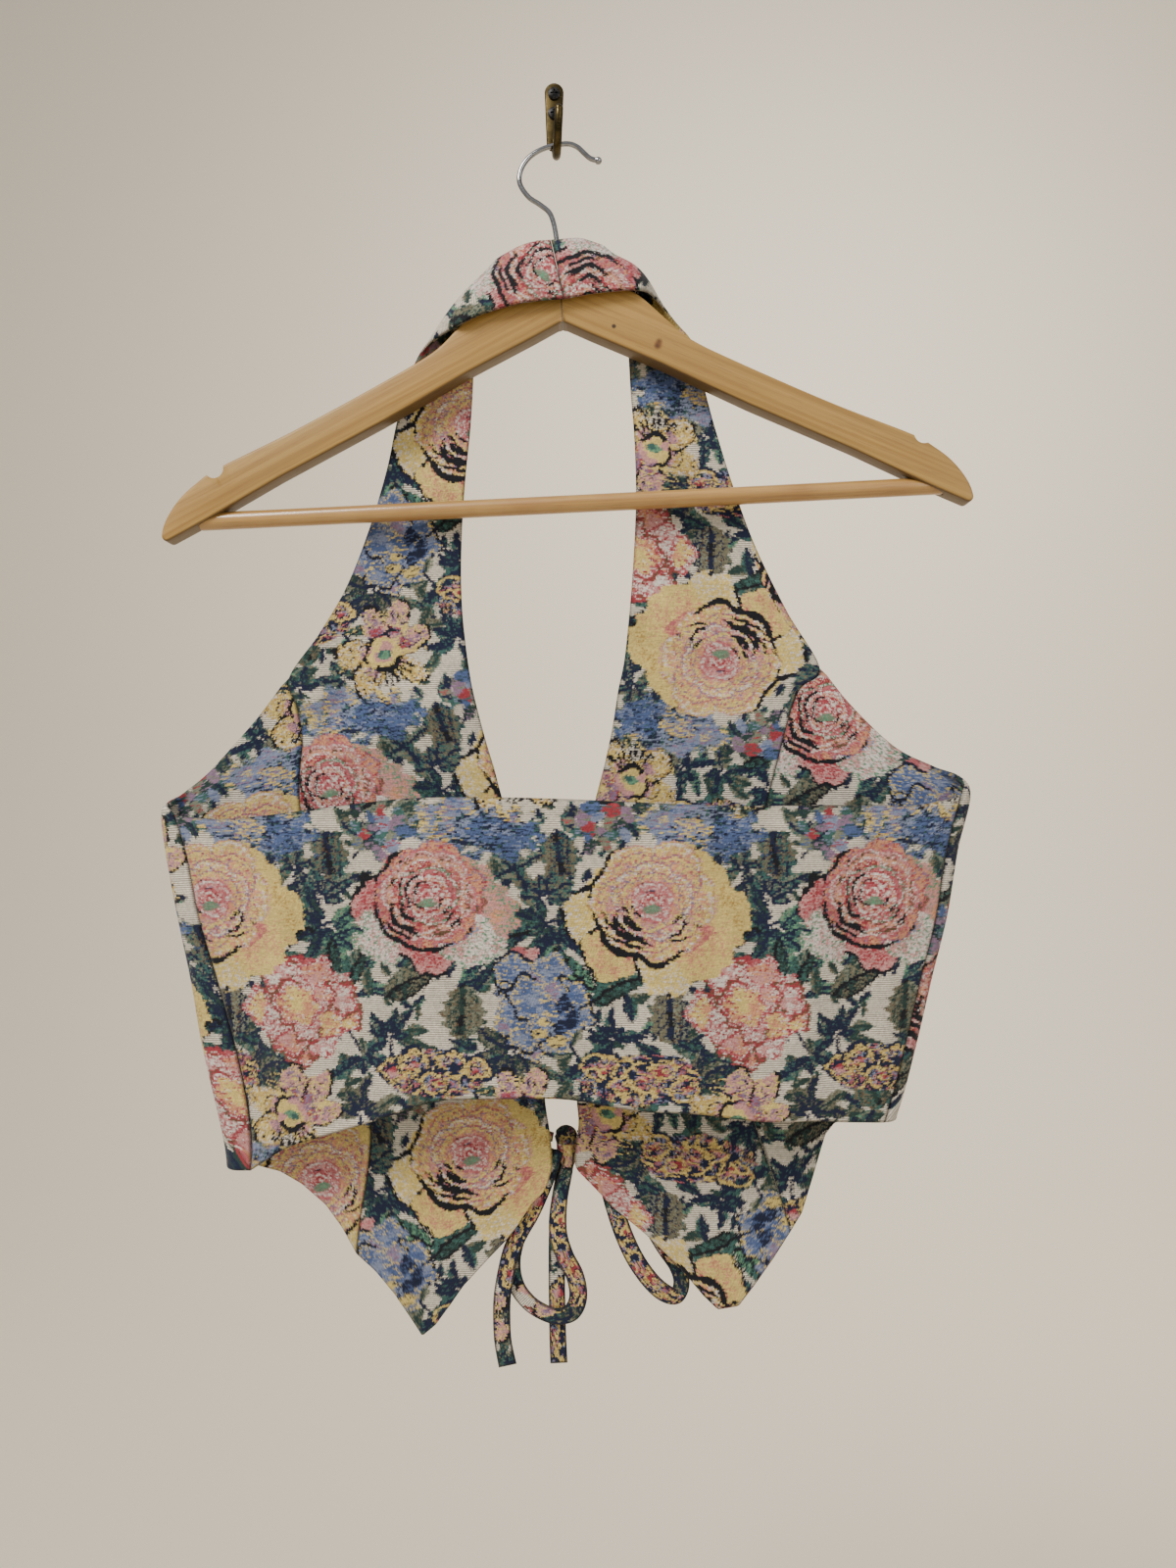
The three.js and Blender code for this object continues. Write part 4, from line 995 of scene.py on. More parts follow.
@dataclass
class Panel:
    """A cut piece of the garment: how the print lies on its two sides, its creases and its flat size."""

    outer: Lay
    inner: Lay
    creases: Sequence[Crease]
    cut: Pair
    area: float

    def sewn(self, wall: Wall, cloth: Tapestry, nodes: Sequence[str], rests_on: list[str]) -> Piece:
        """Args:
            wall: the wall of cloth.
            cloth: the cloth that it is cut from.
            nodes: the solids that the piece stands for.
            rests_on: what holds it up; not used.

        Returns:
            The piece.
        """
        piece = wall.build(cloth)
        declare(piece, "tapestry", *nodes)
        return piece


@dataclass
class CentreFront(Panel):
    """A centre front cut in one with its halter strap and half of the neckband, self-lined."""

    half: Half
    rolled: Callable[[Array, Array], Array] | None = None
    splits: int = 44
    fine_from: float = 11.0
    edge_steps: tuple[float, ...] = (0.0, 0.4, 1.0, 1.8)

    def shares(self, place: Array, finer: bool) -> Array:
        """Shares of the way across for the columns, close together at both edges."""
        value = smooth(self.half.edges(), place)
        width = np.linalg.norm(value[:, 3:6] - value[:, :3], axis=1)[:, None]
        steps = np.array(self.edge_steps)[None]
        middle = np.linspace(0, 1, self.splits + 1)[None, 1:-1]
        inside = steps[:, -1:] + (width - 2 * steps[:, -1:]) * middle
        across = np.concatenate([steps + 0 * width, inside, width - steps[:, ::-1]], axis=1)
        if finer:
            fine = np.zeros((len(place), 2 * across.shape[1] - 1))
            fine[:, ::2] = across
            fine[:, 1::2] = (across[:, 1:] + across[:, :-1]) / 2
            across = fine
        gap = SEAM_GAP / 2 * self.seamed(place)[:, None]
        return (across + gap * (1 - across / width)) / width

    def seamed(self, place: Array) -> Array:
        """One where the outer edge is the princess seam, and nothing where it is the armhole."""
        return np.clip(place - len(self.half.strap) + 0.5, 0, 1)

    def flat_edges(self) -> tuple[Array, Array, Array]:
        """Places along the piece, and the flat places of both its edges, upright like the hung front."""
        place = np.linspace(0, self.half.last_place(), 500)
        value = smooth(self.half.edges(), place)
        out, inner = value[:, :3], value[:, 3:6]
        flat_out, flat_in = unroll(out, inner) if self.half.side < 0 else unroll(inner, out)[::-1]
        hung = place > len(self.half.strap) - 3
        target = np.concatenate([out[hung][:, [0, 2]], inner[hung][:, [0, 2]]])
        source = np.concatenate([flat_out[hung], flat_in[hung]])
        p, q = source - source.mean(0), target - target.mean(0)
        angle = math.atan2((p[:, 0] * q[:, 1] - p[:, 1] * q[:, 0]).sum(), (p * q).sum())
        c, s = math.cos(angle), math.sin(angle)
        turn = np.array([[c, s], [-s, c]])
        place_flat = lambda flat: (flat - source.mean(0)) @ turn + target.mean(0)
        return place, place_flat(flat_out), place_flat(flat_in)

    def patch(self, place: Array, finer: bool) -> Patch:
        """The rows of points at the places."""
        across = self.shares(place, finer)
        points = self.half.centre(place, across)
        normals = grid_normals(points, -self.half.side)
        along, flat_out, flat_in = self.flat_edges()
        ends = [np.stack([np.interp(place, along, flat[:, k]) for k in (0, 1)], axis=1)
                for flat in (flat_out, flat_in)]
        flat = ends[0][:, None] + (ends[1] - ends[0])[:, None] * across[..., None]
        flat[..., 1] -= self.half.hem_weight(place)[:, None] * self.half.drop(self.half.point, across)
        return Patch(creased(points, normals, self.creases), normals, flat)

    def build(self, cloth: Tapestry) -> Piece:
        surface = lambda place: self.half.centre(place, np.tile(np.linspace(0, 1, 21), (len(place), 1)))
        upper = evenly(surface, 0, self.fine_from, CELL)
        lower = evenly(surface, self.fine_from, self.half.last_place(), CELL)
        name = f"{self.half.name}_centre_front"
        wall = Wall(name, [self.patch(upper, False), self.patch(lower, True)],
                    LAYER + LAYER_GAP / 2, self.outer, self.inner, self.rolled)
        return self.sewn(wall, cloth, (f"{name}_shell", f"{name}_lining"), [f"hanger_arm_{self.half.name}"])


@dataclass
class SideFront(Panel):
    """A side front between the princess seam, the armhole and the side seam, self-lined."""

    half: Half
    columns: int = 88

    def build(self, cloth: Tapestry) -> Piece:
        wide = lambda place: self.half.side_front(place, np.tile(np.linspace(0, 1, 21), (len(place), 1)))[0]
        place = evenly(wide, 0, len(self.half.front) - 1.0, CELL)
        across = np.tile(np.linspace(0, 1, self.columns + 1), (len(place), 1))
        points, flat = self.half.side_front(place, across)
        points = drawn_in(points, SEAM_GAP / 2)
        normals = grid_normals(points, self.half.side)
        name = f"{self.half.name}_side_front"
        patch = Patch(creased(points, normals, self.creases), normals, flat)
        wall = Wall(name, [patch], LAYER + LAYER_GAP / 2, self.outer, self.inner)
        return self.sewn(wall, cloth, (f"{name}_shell", f"{name}_lining"), [f"{self.half.name}_centre_front"])


def drawn_in(points: Array, amount: float) -> Array:
    """The same rows with both their long edges drawn in."""
    points = points.copy()
    points[:, 0] += unit(points[:, 1] - points[:, 0]) * amount
    points[:, -1] += unit(points[:, -2] - points[:, -1]) * amount
    return points


@dataclass
class BackBand(Panel):
    """The wide back band from side seam to side seam."""

    left: Half
    right: Half
    columns: int = 296
    pitch: float = 1.34

    def points(self, place: Array, station: Array) -> Array:
        """Points of the band at places down the side seams and stations across it."""
        last = len(self.left.front) - 1.0
        end = np.ones((len(place), 1))
        left = self.left.side_front(place, end)[0][:, 0]
        right = self.right.side_front(place, end)[0][:, 0]
        seam = self.left.side_front(np.array([UNDERARM_ROW, last], float), np.ones((2, 1)))[0][:, 0, 2]
        down = ((left[:, 2] - seam[0]) / (seam[1] - seam[0]))[:, None]
        across, top, low = smooth(np.array(BAND, float), station).T
        points = left[:, None] + (right - left)[:, None] * across[None, :, None]
        points[..., 1] -= BAND_BULGE * (1 - np.abs(2 * across - 1) ** BAND_BULGE_POWER)
        points[..., 2] += top * (1 - down) + low * down
        return points

    def build(self, cloth: Tapestry) -> Piece:
        last = len(self.left.front) - 1.0
        coarse = np.linspace(0, len(BAND) - 1, 40)
        place = evenly(lambda p: self.points(p, coarse), UNDERARM_ROW, last, self.pitch)
        across = np.array(BAND, float)[:, 0]
        fine = np.linspace(0, len(BAND) - 1, 500)
        station = np.interp(np.linspace(0, 1, self.columns + 1), smooth(across[:, None], fine)[:, 0], fine)
        points = drawn_in(self.points(place, station), SEAM_GAP / 2)
        normals = grid_normals(points, -1)
        flat = points[..., [0, 2]]
        patch = Patch(creased(points, -normals, self.creases), normals, flat)
        wall = Wall("back_band_cloth", [patch], BAND_THICKNESS / 2, self.outer, self.inner)
        return self.sewn(wall, cloth, ["back_band"], ["left_side_front", "right_side_front"])


def declare(piece: Piece, slot: str, *nodes: str) -> None:
    """Says what a piece rides on and which nodes it stands for."""
    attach(piece, BODY)
    if nodes:
        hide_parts(*nodes)
    LOG.info("%s: %d faces", piece.name, len(piece.data.polygons))


@dataclass
class TieStrip:
    """One flat strip of the bow at the front, its width square to its run, seen square on."""

    name: str
    rows: Sequence[tuple[float, float, float, float]]
    thickness: float = 2.0
    columns: int = 14
    pitch: float = 0.9
    # How near its edges the strip is darkened with painted shade, in millimetres.
    edge_shade_width: float = 1.2
    edge_radius: float = 1.1

    def points(self, place: Array, across: Array) -> Array:
        """Points of the strip at places along it and shares of half its width."""
        rows = np.array(self.rows, float)
        value = smooth(rows, place)
        last = len(rows) - 1.0
        along = smooth(rows, np.minimum(place + 0.25, last)) - smooth(rows, np.maximum(place - 0.25, 0))
        square = np.cross(np.array([0, 1, 0]), unit(along[:, :3]))
        reach = across[None, :] * value[:, 3:4] / 2
        return value[:, None, :3] + unit(square)[:, None] * reach[..., None]

    def build(self, cloth: Tapestry) -> Piece:
        across = np.linspace(-1, 1, self.columns + 1)
        surface = lambda place: self.points(place, across)
        place = evenly(surface, 0, len(self.rows) - 1.0, self.pitch)
        points = surface(place)
        middle = points[:, self.columns // 2]
        run = np.concatenate([[0], np.cumsum(np.linalg.norm(np.diff(middle, axis=0), axis=1))])
        width = np.linalg.norm(points[:, -1] - points[:, 0], axis=1)
        flat = np.stack([width[:, None] / 2 * across, np.tile(run[:, None], (1, len(across)))], axis=-1)
        patch = Patch(points, grid_normals(points, 1), flat)
        lay = Lay((0, 0), (17.0 * len(self.rows), -94), 90)
        name = f"{self.name}_cloth"
        wall = Wall(name, [patch], self.thickness / 2, lay, lay, None, self.edge_shade_width, self.edge_radius)
        piece = wall.build(cloth)
        declare(piece, "tapestry", self.name)
        return piece


@dataclass
class TieKnot:
    """The knot of the bow: one strip wrapped slantwise over the gathered roots of the others."""

    place: Triple = (6.8, -8.6, -570.3)
    size: Triple = (12.8, 8.6, 13.0)
    segments: int = 96
    rings: int = 60
    wrap_slant: float = 24.0
    wrap_half: float = 0.46
    folds: int = 9
    gathered: float = 13.0
    strands_from: float = 0.3
    wrap_lay: Lay = Lay((0, 0), (3, -88), 30)
    strand_lay: Lay = Lay((0, -14), (-66, -62), 20)
    wrap_tone: float = 0.5
    strand_tone: float = 0.9

    def build(self, cloth: Tapestry) -> Piece:
        """Makes the knot out of a ball, pressed into folds and wrapped."""
        ball = start(bpy.ops.mesh.primitive_uv_sphere_add, segments=self.segments, ring_count=self.rings,
                     radius=1)
        ball.name = ball.data.name = "tie_knot_cloth"
        mesh = ball.data
        points = values_of(mesh.vertices, "co", 3)
        slant = math.radians(self.wrap_slant)
        level = points[:, 2] * math.cos(slant) + points[:, 0] * math.sin(slant)
        wrap = np.clip((self.wrap_half - np.abs(level)) / 0.07, 0, 1)
        wrap = wrap * wrap * (3 - 2 * wrap)
        around = np.arctan2(points[:, 1], points[:, 0])
        gathers = 0.12 * np.sin(self.folds * around + 1.4 * points[:, 2]) + 0.04 * np.sin(4 * around + 2)
        creases = 0.06 * np.sin(9 * level + 2 * around)
        reach = 0.86 + (1 - wrap) * gathers + wrap * (0.1 + creases)
        low = np.clip(-points[:, 2], 0, 1)
        radius = np.maximum(np.hypot(points[:, 0], points[:, 1]), 1e-4)
        fuller = np.where(radius > 1e-3, np.sqrt(np.maximum(1 - low ** 6, 0)) * (1 - 0.3 * low) / radius, 1)
        strands = 1 + 0.12 * low * np.sin(7 * around + 9 * low)
        reach *= np.where(points[:, 2] < 0, fuller * strands, 1)
        placed = points * np.array(self.size) / 2
        placed[:, :2] *= reach[:, None]
        placed[:, 2] -= self.gathered * low ** 1.6
        placed[:, 0] += 1.2 * low
        placed += np.array(self.place)
        mesh.vertices.foreach_set("co", (placed * MM).ravel())
        corners = values_of(mesh.loops, "vertex_index", kind=int)
        flat = np.stack([around * self.size[0] / 2, points[:, 2] * self.size[2] / 2], axis=1)[corners]
        flat[:, 1] -= self.gathered * low[corners]
        dark, ground = cloth.look_up(self.wrap_lay.on_cloth(flat))
        pale = cloth.look_up(self.strand_lay.on_cloth(flat))[0]
        wrapped = low[corners][:, None] < self.strands_from
        colours = np.where(wrapped, dark * self.wrap_tone, pale * self.strand_tone)
        dress(mesh, flat, colours, ground, np.full(len(corners), FAR_FROM_EDGE))
        mesh.shade_smooth()
        mesh.materials.append(TAPESTRY_CLOTH.material())
        declare(ball, "tapestry", "tie_knot")
        return ball


TIE_STRIPS = (
    TieStrip("tie_loop_left", (
        (9.6, -10.4, -577.6, 4.5), (7, -10.8, -589, 7), (3.2, -11, -605, 9), (2.4, -11, -622, 10),
        (6, -11, -635, 10), (11.8, -11, -646.5, 10), (13.6, -11, -658, 10), (10, -11, -666.5, 10),
        (2, -10.4, -669.2, 9), (-6.5, -9.2, -667, 9), (-14.5, -7.8, -662, 9), (-21, -6.8, -653, 9),
        (-23, -6.3, -640, 9), (-19.5, -6.2, -624, 9), (-13.5, -6.3, -606, 8), (-6.5, -6.5, -589, 7),
        (-1.6, -7, -577, 5),
    )),
    TieStrip("tie_loop_right", (
        (12.6, -10.7, -575, 4), (21, -10.6, -582, 8), (29, -10.6, -593, 10), (33.5, -10.8, -608, 10),
        (38.5, -11, -623, 10), (45, -11, -637, 10), (53, -11, -648.5, 10), (61, -10.4, -656, 10),
        (68, -8.8, -658.5, 9), (71, -7.2, -652, 9), (68.5, -6.2, -643, 9), (61, -6, -632, 9),
        (50, -6, -614, 9), (38, -6, -597, 9), (27, -6, -583.5, 8), (14, -6.2, -575.4, 4),
    )),
    TieStrip("tie_end_left", (
        (3.2, -10.4, -577.6, 5), (-2, -10.6, -589, 8), (-7.4, -10.7, -601, 9.4), (-12.8, -10.8, -612.5, 9.6),
        (-18.4, -10.8, -622.1, 9.6), (-23, -10.8, -632, 9.6), (-25.9, -10.8, -643, 9.6),
        (-28.3, -10.8, -657, 9.6), (-28.7, -10.8, -670, 9.6), (-28, -10.8, -683, 9.6),
        (-25.4, -10.8, -696.2, 10),
    )),
    TieStrip("tie_end_right", (
        (6.6, -6.7, -576.9, 5), (5.6, -6.4, -590, 8), (3, -6.4, -607, 9), (1.8, -6.4, -625, 9.2),
        (1.6, -6.4, -645, 9.2), (1.8, -6.4, -664, 9.2), (2.2, -6.4, -682, 9.4), (2.8, -6.4, -696.9, 9.6),
    )),
    TieStrip("tie_root_left", (
        (-24, -11.2, -566, 10), (-15, -11.5, -567, 10), (-7, -11.2, -569, 8), (-0.3, -9.6, -570.2, 5),
    )),
    TieStrip("tie_root_right", (
        (38, -11.1, -560, 9), (29, -11.5, -562.5, 9), (21, -11.3, -566, 8), (13.8, -9.6, -569, 5),
    )),
)


def start(primitive: Callable[..., object], **settings: object) -> Piece:
    """Adds a primitive with nothing else selected, its place brought into its mesh.

    Args:
        primitive: the operator that adds it.
        settings: the operator's own settings.

    Returns:
        The new object, at the origin.
    """
    bpy.ops.object.select_all(action="DESELECT")
    primitive(**settings)
    piece = bpy.context.object
    piece.data.transform(piece.matrix_basis)
    piece.matrix_basis = Matrix.Identity(4)
    return piece


class Along(Enum):
    """The axis that a rod lies along, with the turn that lays it there."""

    X = (0, math.pi / 2, 0)
    Y = (math.pi / 2, 0, 0)


def straight_rod(sides: int, radius: float, length: float, along: Along, middle: Triple) -> Piece:
    """A straight rod, its sizes and its middle in millimetres."""
    return start(bpy.ops.mesh.primitive_cylinder_add, vertices=sides, radius=radius * MM, depth=length * MM,
                 rotation=along.value, location=tuple(c * MM for c in middle))


def take_up(piece: Piece) -> None:
    """Selects one object and nothing else, and makes it the active one."""
    bpy.ops.object.select_all(action="DESELECT")
    piece.select_set(True)
    bpy.context.view_layer.objects.active = piece


@contextmanager
def editing(piece: Piece, mode: str = "FACE") -> Iterator[None]:
    """Edit mode on one object, with nothing selected at first."""
    take_up(piece)
    bpy.ops.object.mode_set(mode="EDIT")
    bpy.ops.mesh.select_mode(type=mode)
    bpy.ops.mesh.select_all(action="DESELECT")
    yield
    bpy.ops.object.mode_set(mode="OBJECT")


def choose(piece: Piece, kind: str, test: Callable[[bmesh.types.BMFace], bool]) -> None:
    """Selects the vertices, edges or faces that pass a test, in edit mode."""
    bpy.ops.mesh.select_all(action="DESELECT")
    mesh = bmesh.from_edit_mesh(piece.data)
    for element in getattr(mesh, kind):
        if test(element):
            element.select_set(True)
    bmesh.update_edit_mesh(piece.data)


def finish_with(piece: Piece, kind: str, **settings: object) -> None:
    """Adds a modifier and applies it."""
    modifier = piece.modifiers.new("work", kind)
    for key, value in settings.items():
        setattr(modifier, key, value)
    take_up(piece)
    bpy.ops.object.modifier_apply(modifier=modifier.name)


def carve(piece: Piece, tool: Piece) -> None:
    """Cuts the tool's shape out of the piece, and takes the tool away."""
    finish_with(piece, "BOOLEAN", operation="DIFFERENCE", solver="EXACT", object=tool)
    bpy.data.objects.remove(tool)


def hand_over(piece: Piece, name: str, finish: "Finish", slot: str, *nodes: str) -> None:
    """Names, smooths, dresses and declares a hard piece."""
    piece.name = piece.data.name = name
    take_up(piece)
    bpy.ops.object.shade_smooth_by_angle(angle=SHARP_ANGLE)
    piece.data.materials.clear()
    piece.data.materials.append(finish.material())
    declare(piece, slot, *nodes)


def bent_rod(points: Array, radii: Array) -> Piece:
    """A round rod through points, its radius given at each, closed at both ends.

    Args:
        points: the middle line in millimetres, close enough together to look smooth.
        radii: the rod's radius at each point.

    Returns:
        The rod as a mesh.
    """
    bpy.ops.object.select_all(action="DESELECT")
    bpy.ops.curve.primitive_nurbs_path_add()
    rod = bpy.context.object
    curve = rod.data
    curve.splines.clear()
    line = curve.splines.new("POLY")
    line.points.add(len(points) - 1)
    for knot, place, radius in zip(line.points, points * MM, radii):
        knot.co = (*place, 1)
        knot.radius = radius
    curve.bevel_depth = MM
    curve.bevel_resolution = 6
    curve.use_fill_caps = True
    bpy.ops.object.convert(target="MESH")
    rod = bpy.context.object
    with editing(rod):
        bpy.ops.mesh.select_all(action="SELECT")
        bpy.ops.mesh.remove_doubles(threshold=1e-7)
        bpy.ops.mesh.normals_make_consistent(inside=False)
    return rod


def ball_end(points: Array, radii: Array, radius: float, steps: int = 9) -> tuple[Array, Array]:
    """The rod's line and radii with a ball shaped on its last point."""
    ahead = unit(points[-1] - points[-2])
    first = -math.acos(radii[-1] / radius) if radii[-1] < radius else 0
    angles = np.linspace(first, math.radians(88), steps)
    ball = points[-1] + ahead * (radius * np.sin(angles))[:, None]
    keep = ((points - ball[0]) @ ahead < -0.1) | (np.linalg.norm(points - points[-1], axis=1) > 2 * radius)
    return np.concatenate([points[keep], ball]), np.concatenate([radii[keep], radius * np.cos(angles)])


def along_chain(points: Sequence[Pair], share: float) -> Pair:
    """The point at a share of the way along a chain of straight lines."""
    chain = np.array(points, float)
    run = np.concatenate([[0], np.cumsum(np.linalg.norm(np.diff(chain, axis=0), axis=1))])
    return tuple(np.interp(share * run[-1], run, chain[:, k]) for k in (0, 1))


@dataclass
class Hanger:
    """The flat wooden hanger: two arms that meet at the middle, and a round bar let into them."""

    joint: Triple = (5.1, -18.0, -122.6)
    roll: float = HANGER_ROLL
    thickness: float = 13.5
    spans: Pair = (222.9, 218.1)
    joint_gap: float = 0.06
    rounding: float = 1.6
    notch_radius: float = 5.2
    notch: Pair = (192.5, -72.0)
    bar_radius: float = 4.8
    bar_half: float = 203.0
    bar_z: float = -99.0
    bar_sag: float = 0.18
    bar_sway: float = 0.1
    bar_cuts: int = 24
    bar_easing: float = 0.8
    fit: float = 0.3
    columns: int = 90
    top: tuple[Pair, ...] = (
        (0, 19.5), (22, 18.8), (34, 16), (44, 9.5), (57, -3), (70, -14.5), (96, -28.6), (146, -53),
        (188, -71.5), (200, -79), (208.5, -86), (215, -94), (219, -101.5), (220.5, -108),
    )
    low: tuple[Pair, ...] = (
        (0, -1.5), (15, -9), (52, -26.5), (100, -51.5), (156, -78.5), (200, -101.5), (218, -110.2),
    )

    def in_place(self) -> Matrix:
        """From the hanger's own frame to the room's, in metres."""
        turn = Matrix.Rotation(-math.radians(self.roll), 4, "Y")
        return Matrix.Translation(Vector(self.joint) * MM) @ turn

    def arm(self, side: int, span: float) -> Piece:
        """One arm, from a grid drawn into its outline, thickened, cut out and rounded off."""
        stretch = span / self.top[-1][0]
        rows = np.array(self.top, float)
        fine = [tuple(p) for p in smooth(rows, np.linspace(0, len(rows) - 1, 110))]
        arm = start(bpy.ops.mesh.primitive_grid_add, x_subdivisions=self.columns, y_subdivisions=2, size=1)
        for vertex in arm.data.vertices:
            share, up = vertex.co.x + 0.5, vertex.co.y + 0.5
            (tx, tz), (lx, lz) = along_chain(fine, share), along_chain(self.low, share)
            x = stretch * (lx + (tx - lx) * up) + self.joint_gap / 2
            z = lz + (tz - lz) * up
            vertex.co = Vector((side * x, -self.thickness / 2, z)) * MM
        with editing(arm):
            bpy.ops.mesh.select_all(action="SELECT")
            bpy.ops.mesh.extrude_region_move(TRANSFORM_OT_translate={"value": (0, self.thickness * MM, 0)})
            bpy.ops.mesh.select_all(action="SELECT")
            bpy.ops.mesh.normals_make_consistent(inside=False)
            edge_y = self.thickness / 2 * MM
            choose(arm, "edges", lambda edge: edge.calc_face_angle(0) > 1
                   and all(abs(abs(v.co.y) - edge_y) < 1e-6 and abs(v.co.x) > 1 * MM for v in edge.verts))
            bpy.ops.mesh.bevel(offset=self.rounding * MM, segments=4, affect="EDGES")
        notch = (side * self.notch[0], 0, self.notch[1])
        carve(arm, straight_rod(40, self.notch_radius, 2 * self.thickness, Along.Y, notch))
        socket = 2 * (self.bar_half + self.fit)
        carve(arm, straight_rod(40, self.bar_radius + self.fit, socket, Along.X, (0, 0, self.bar_z)))
        arm.data.transform(self.in_place())
        return arm

    def build(self) -> None:
        for name, side, span in (("left", -1, self.spans[0]), ("right", 1, self.spans[1])):
            arm = self.arm(side, span)
            carve(arm, WireHook().bore())
            node = f"hanger_arm_{name}"
            hand_over(arm, f"{node}_wood", arm_wood(name, side), "hanger_wood", node)
        self.bar()

    def bar(self) -> Piece:
        """The trouser bar, a turned rod with eased ends that bows down a little."""
        bar = straight_rod(48, self.bar_radius, 2 * self.bar_half, Along.X, (0, 0, self.bar_z))
        with editing(bar):
            for k in range(1, self.bar_cuts):
                bpy.ops.mesh.select_all(action="SELECT")
                x = self.bar_half * (2 * k / self.bar_cuts - 1) * MM
                bpy.ops.mesh.bisect(plane_co=(x, 0, 0), plane_no=(1, 0, 0))
            choose(bar, "faces", lambda face: abs(face.normal.x) > 0.9)
            bpy.ops.mesh.bevel(offset=self.bar_easing * MM, segments=3, affect="EDGES")
        for vertex in bar.data.vertices:
            share = vertex.co.x / (self.bar_half * MM)
            vertex.co.z -= self.bar_sag * MM * (1 - share * share)
            vertex.co.y += self.bar_sway * MM * math.sin(5 * share) * (1 - share * share)
        bar.data.transform(self.in_place())
        hand_over(bar, "hanger_bar_rod", BAR_VARNISH, "bar_varnished", "hanger_bar")
        return bar


@dataclass
class WireHook:
    """The hanger's wire hook, from its seat in the wood to the ball on its tip."""

    radius: float = 1.4
    ball: float = 2.0
    fit: float = 0.35
    route: tuple[Triple, ...] = (
        (4.9, -18, -112), (4.5, -18, -103), (3.2, -17.9, -88), (1.6, -17.7, -75.2), (0, -17.6, -67.2),
        (-2.4, -17.5, -61.8), (-7.5, -17.4, -57.6), (-13.6, -17.2, -53.3), (-18.3, -17, -46),
        (-17.8, -16.8, -38.5), (-13.6, -16.6, -31.8), (-7, -16.4, -27.2), (1, -16.2, -24.6),
        (8.3, -16.2, -23.8), (13.3, -16.2, -25.6), (17, -16.2, -29), (20.4, -16.2, -31.8), (24.6, -16.2, -33),
    )

    def line(self, first: float, last: float, count: int) -> Array:
        """Points along the wire."""
        return smooth(np.array(self.route, float), np.linspace(first, last, count))

    def bore(self) -> Piece:
        """The hole that the wire stands in, as a tool to cut with."""
        points = self.line(0, 2, 12)
        points = np.concatenate([points[:1] + (points[:1] - points[1:2]) * 0.4, points])
        return bent_rod(points, np.full(len(points), self.radius + self.fit))

    def build(self) -> Piece:
        points = self.line(0, len(self.route) - 1.0, 240)
        points, radii = ball_end(points, np.full(len(points), self.radius), self.ball)
        wire = bent_rod(points, radii)
        hand_over(wire, "hanger_wire", CHROME_WIRE, "wire_chrome", "hanger_hook_wire")
        return wire


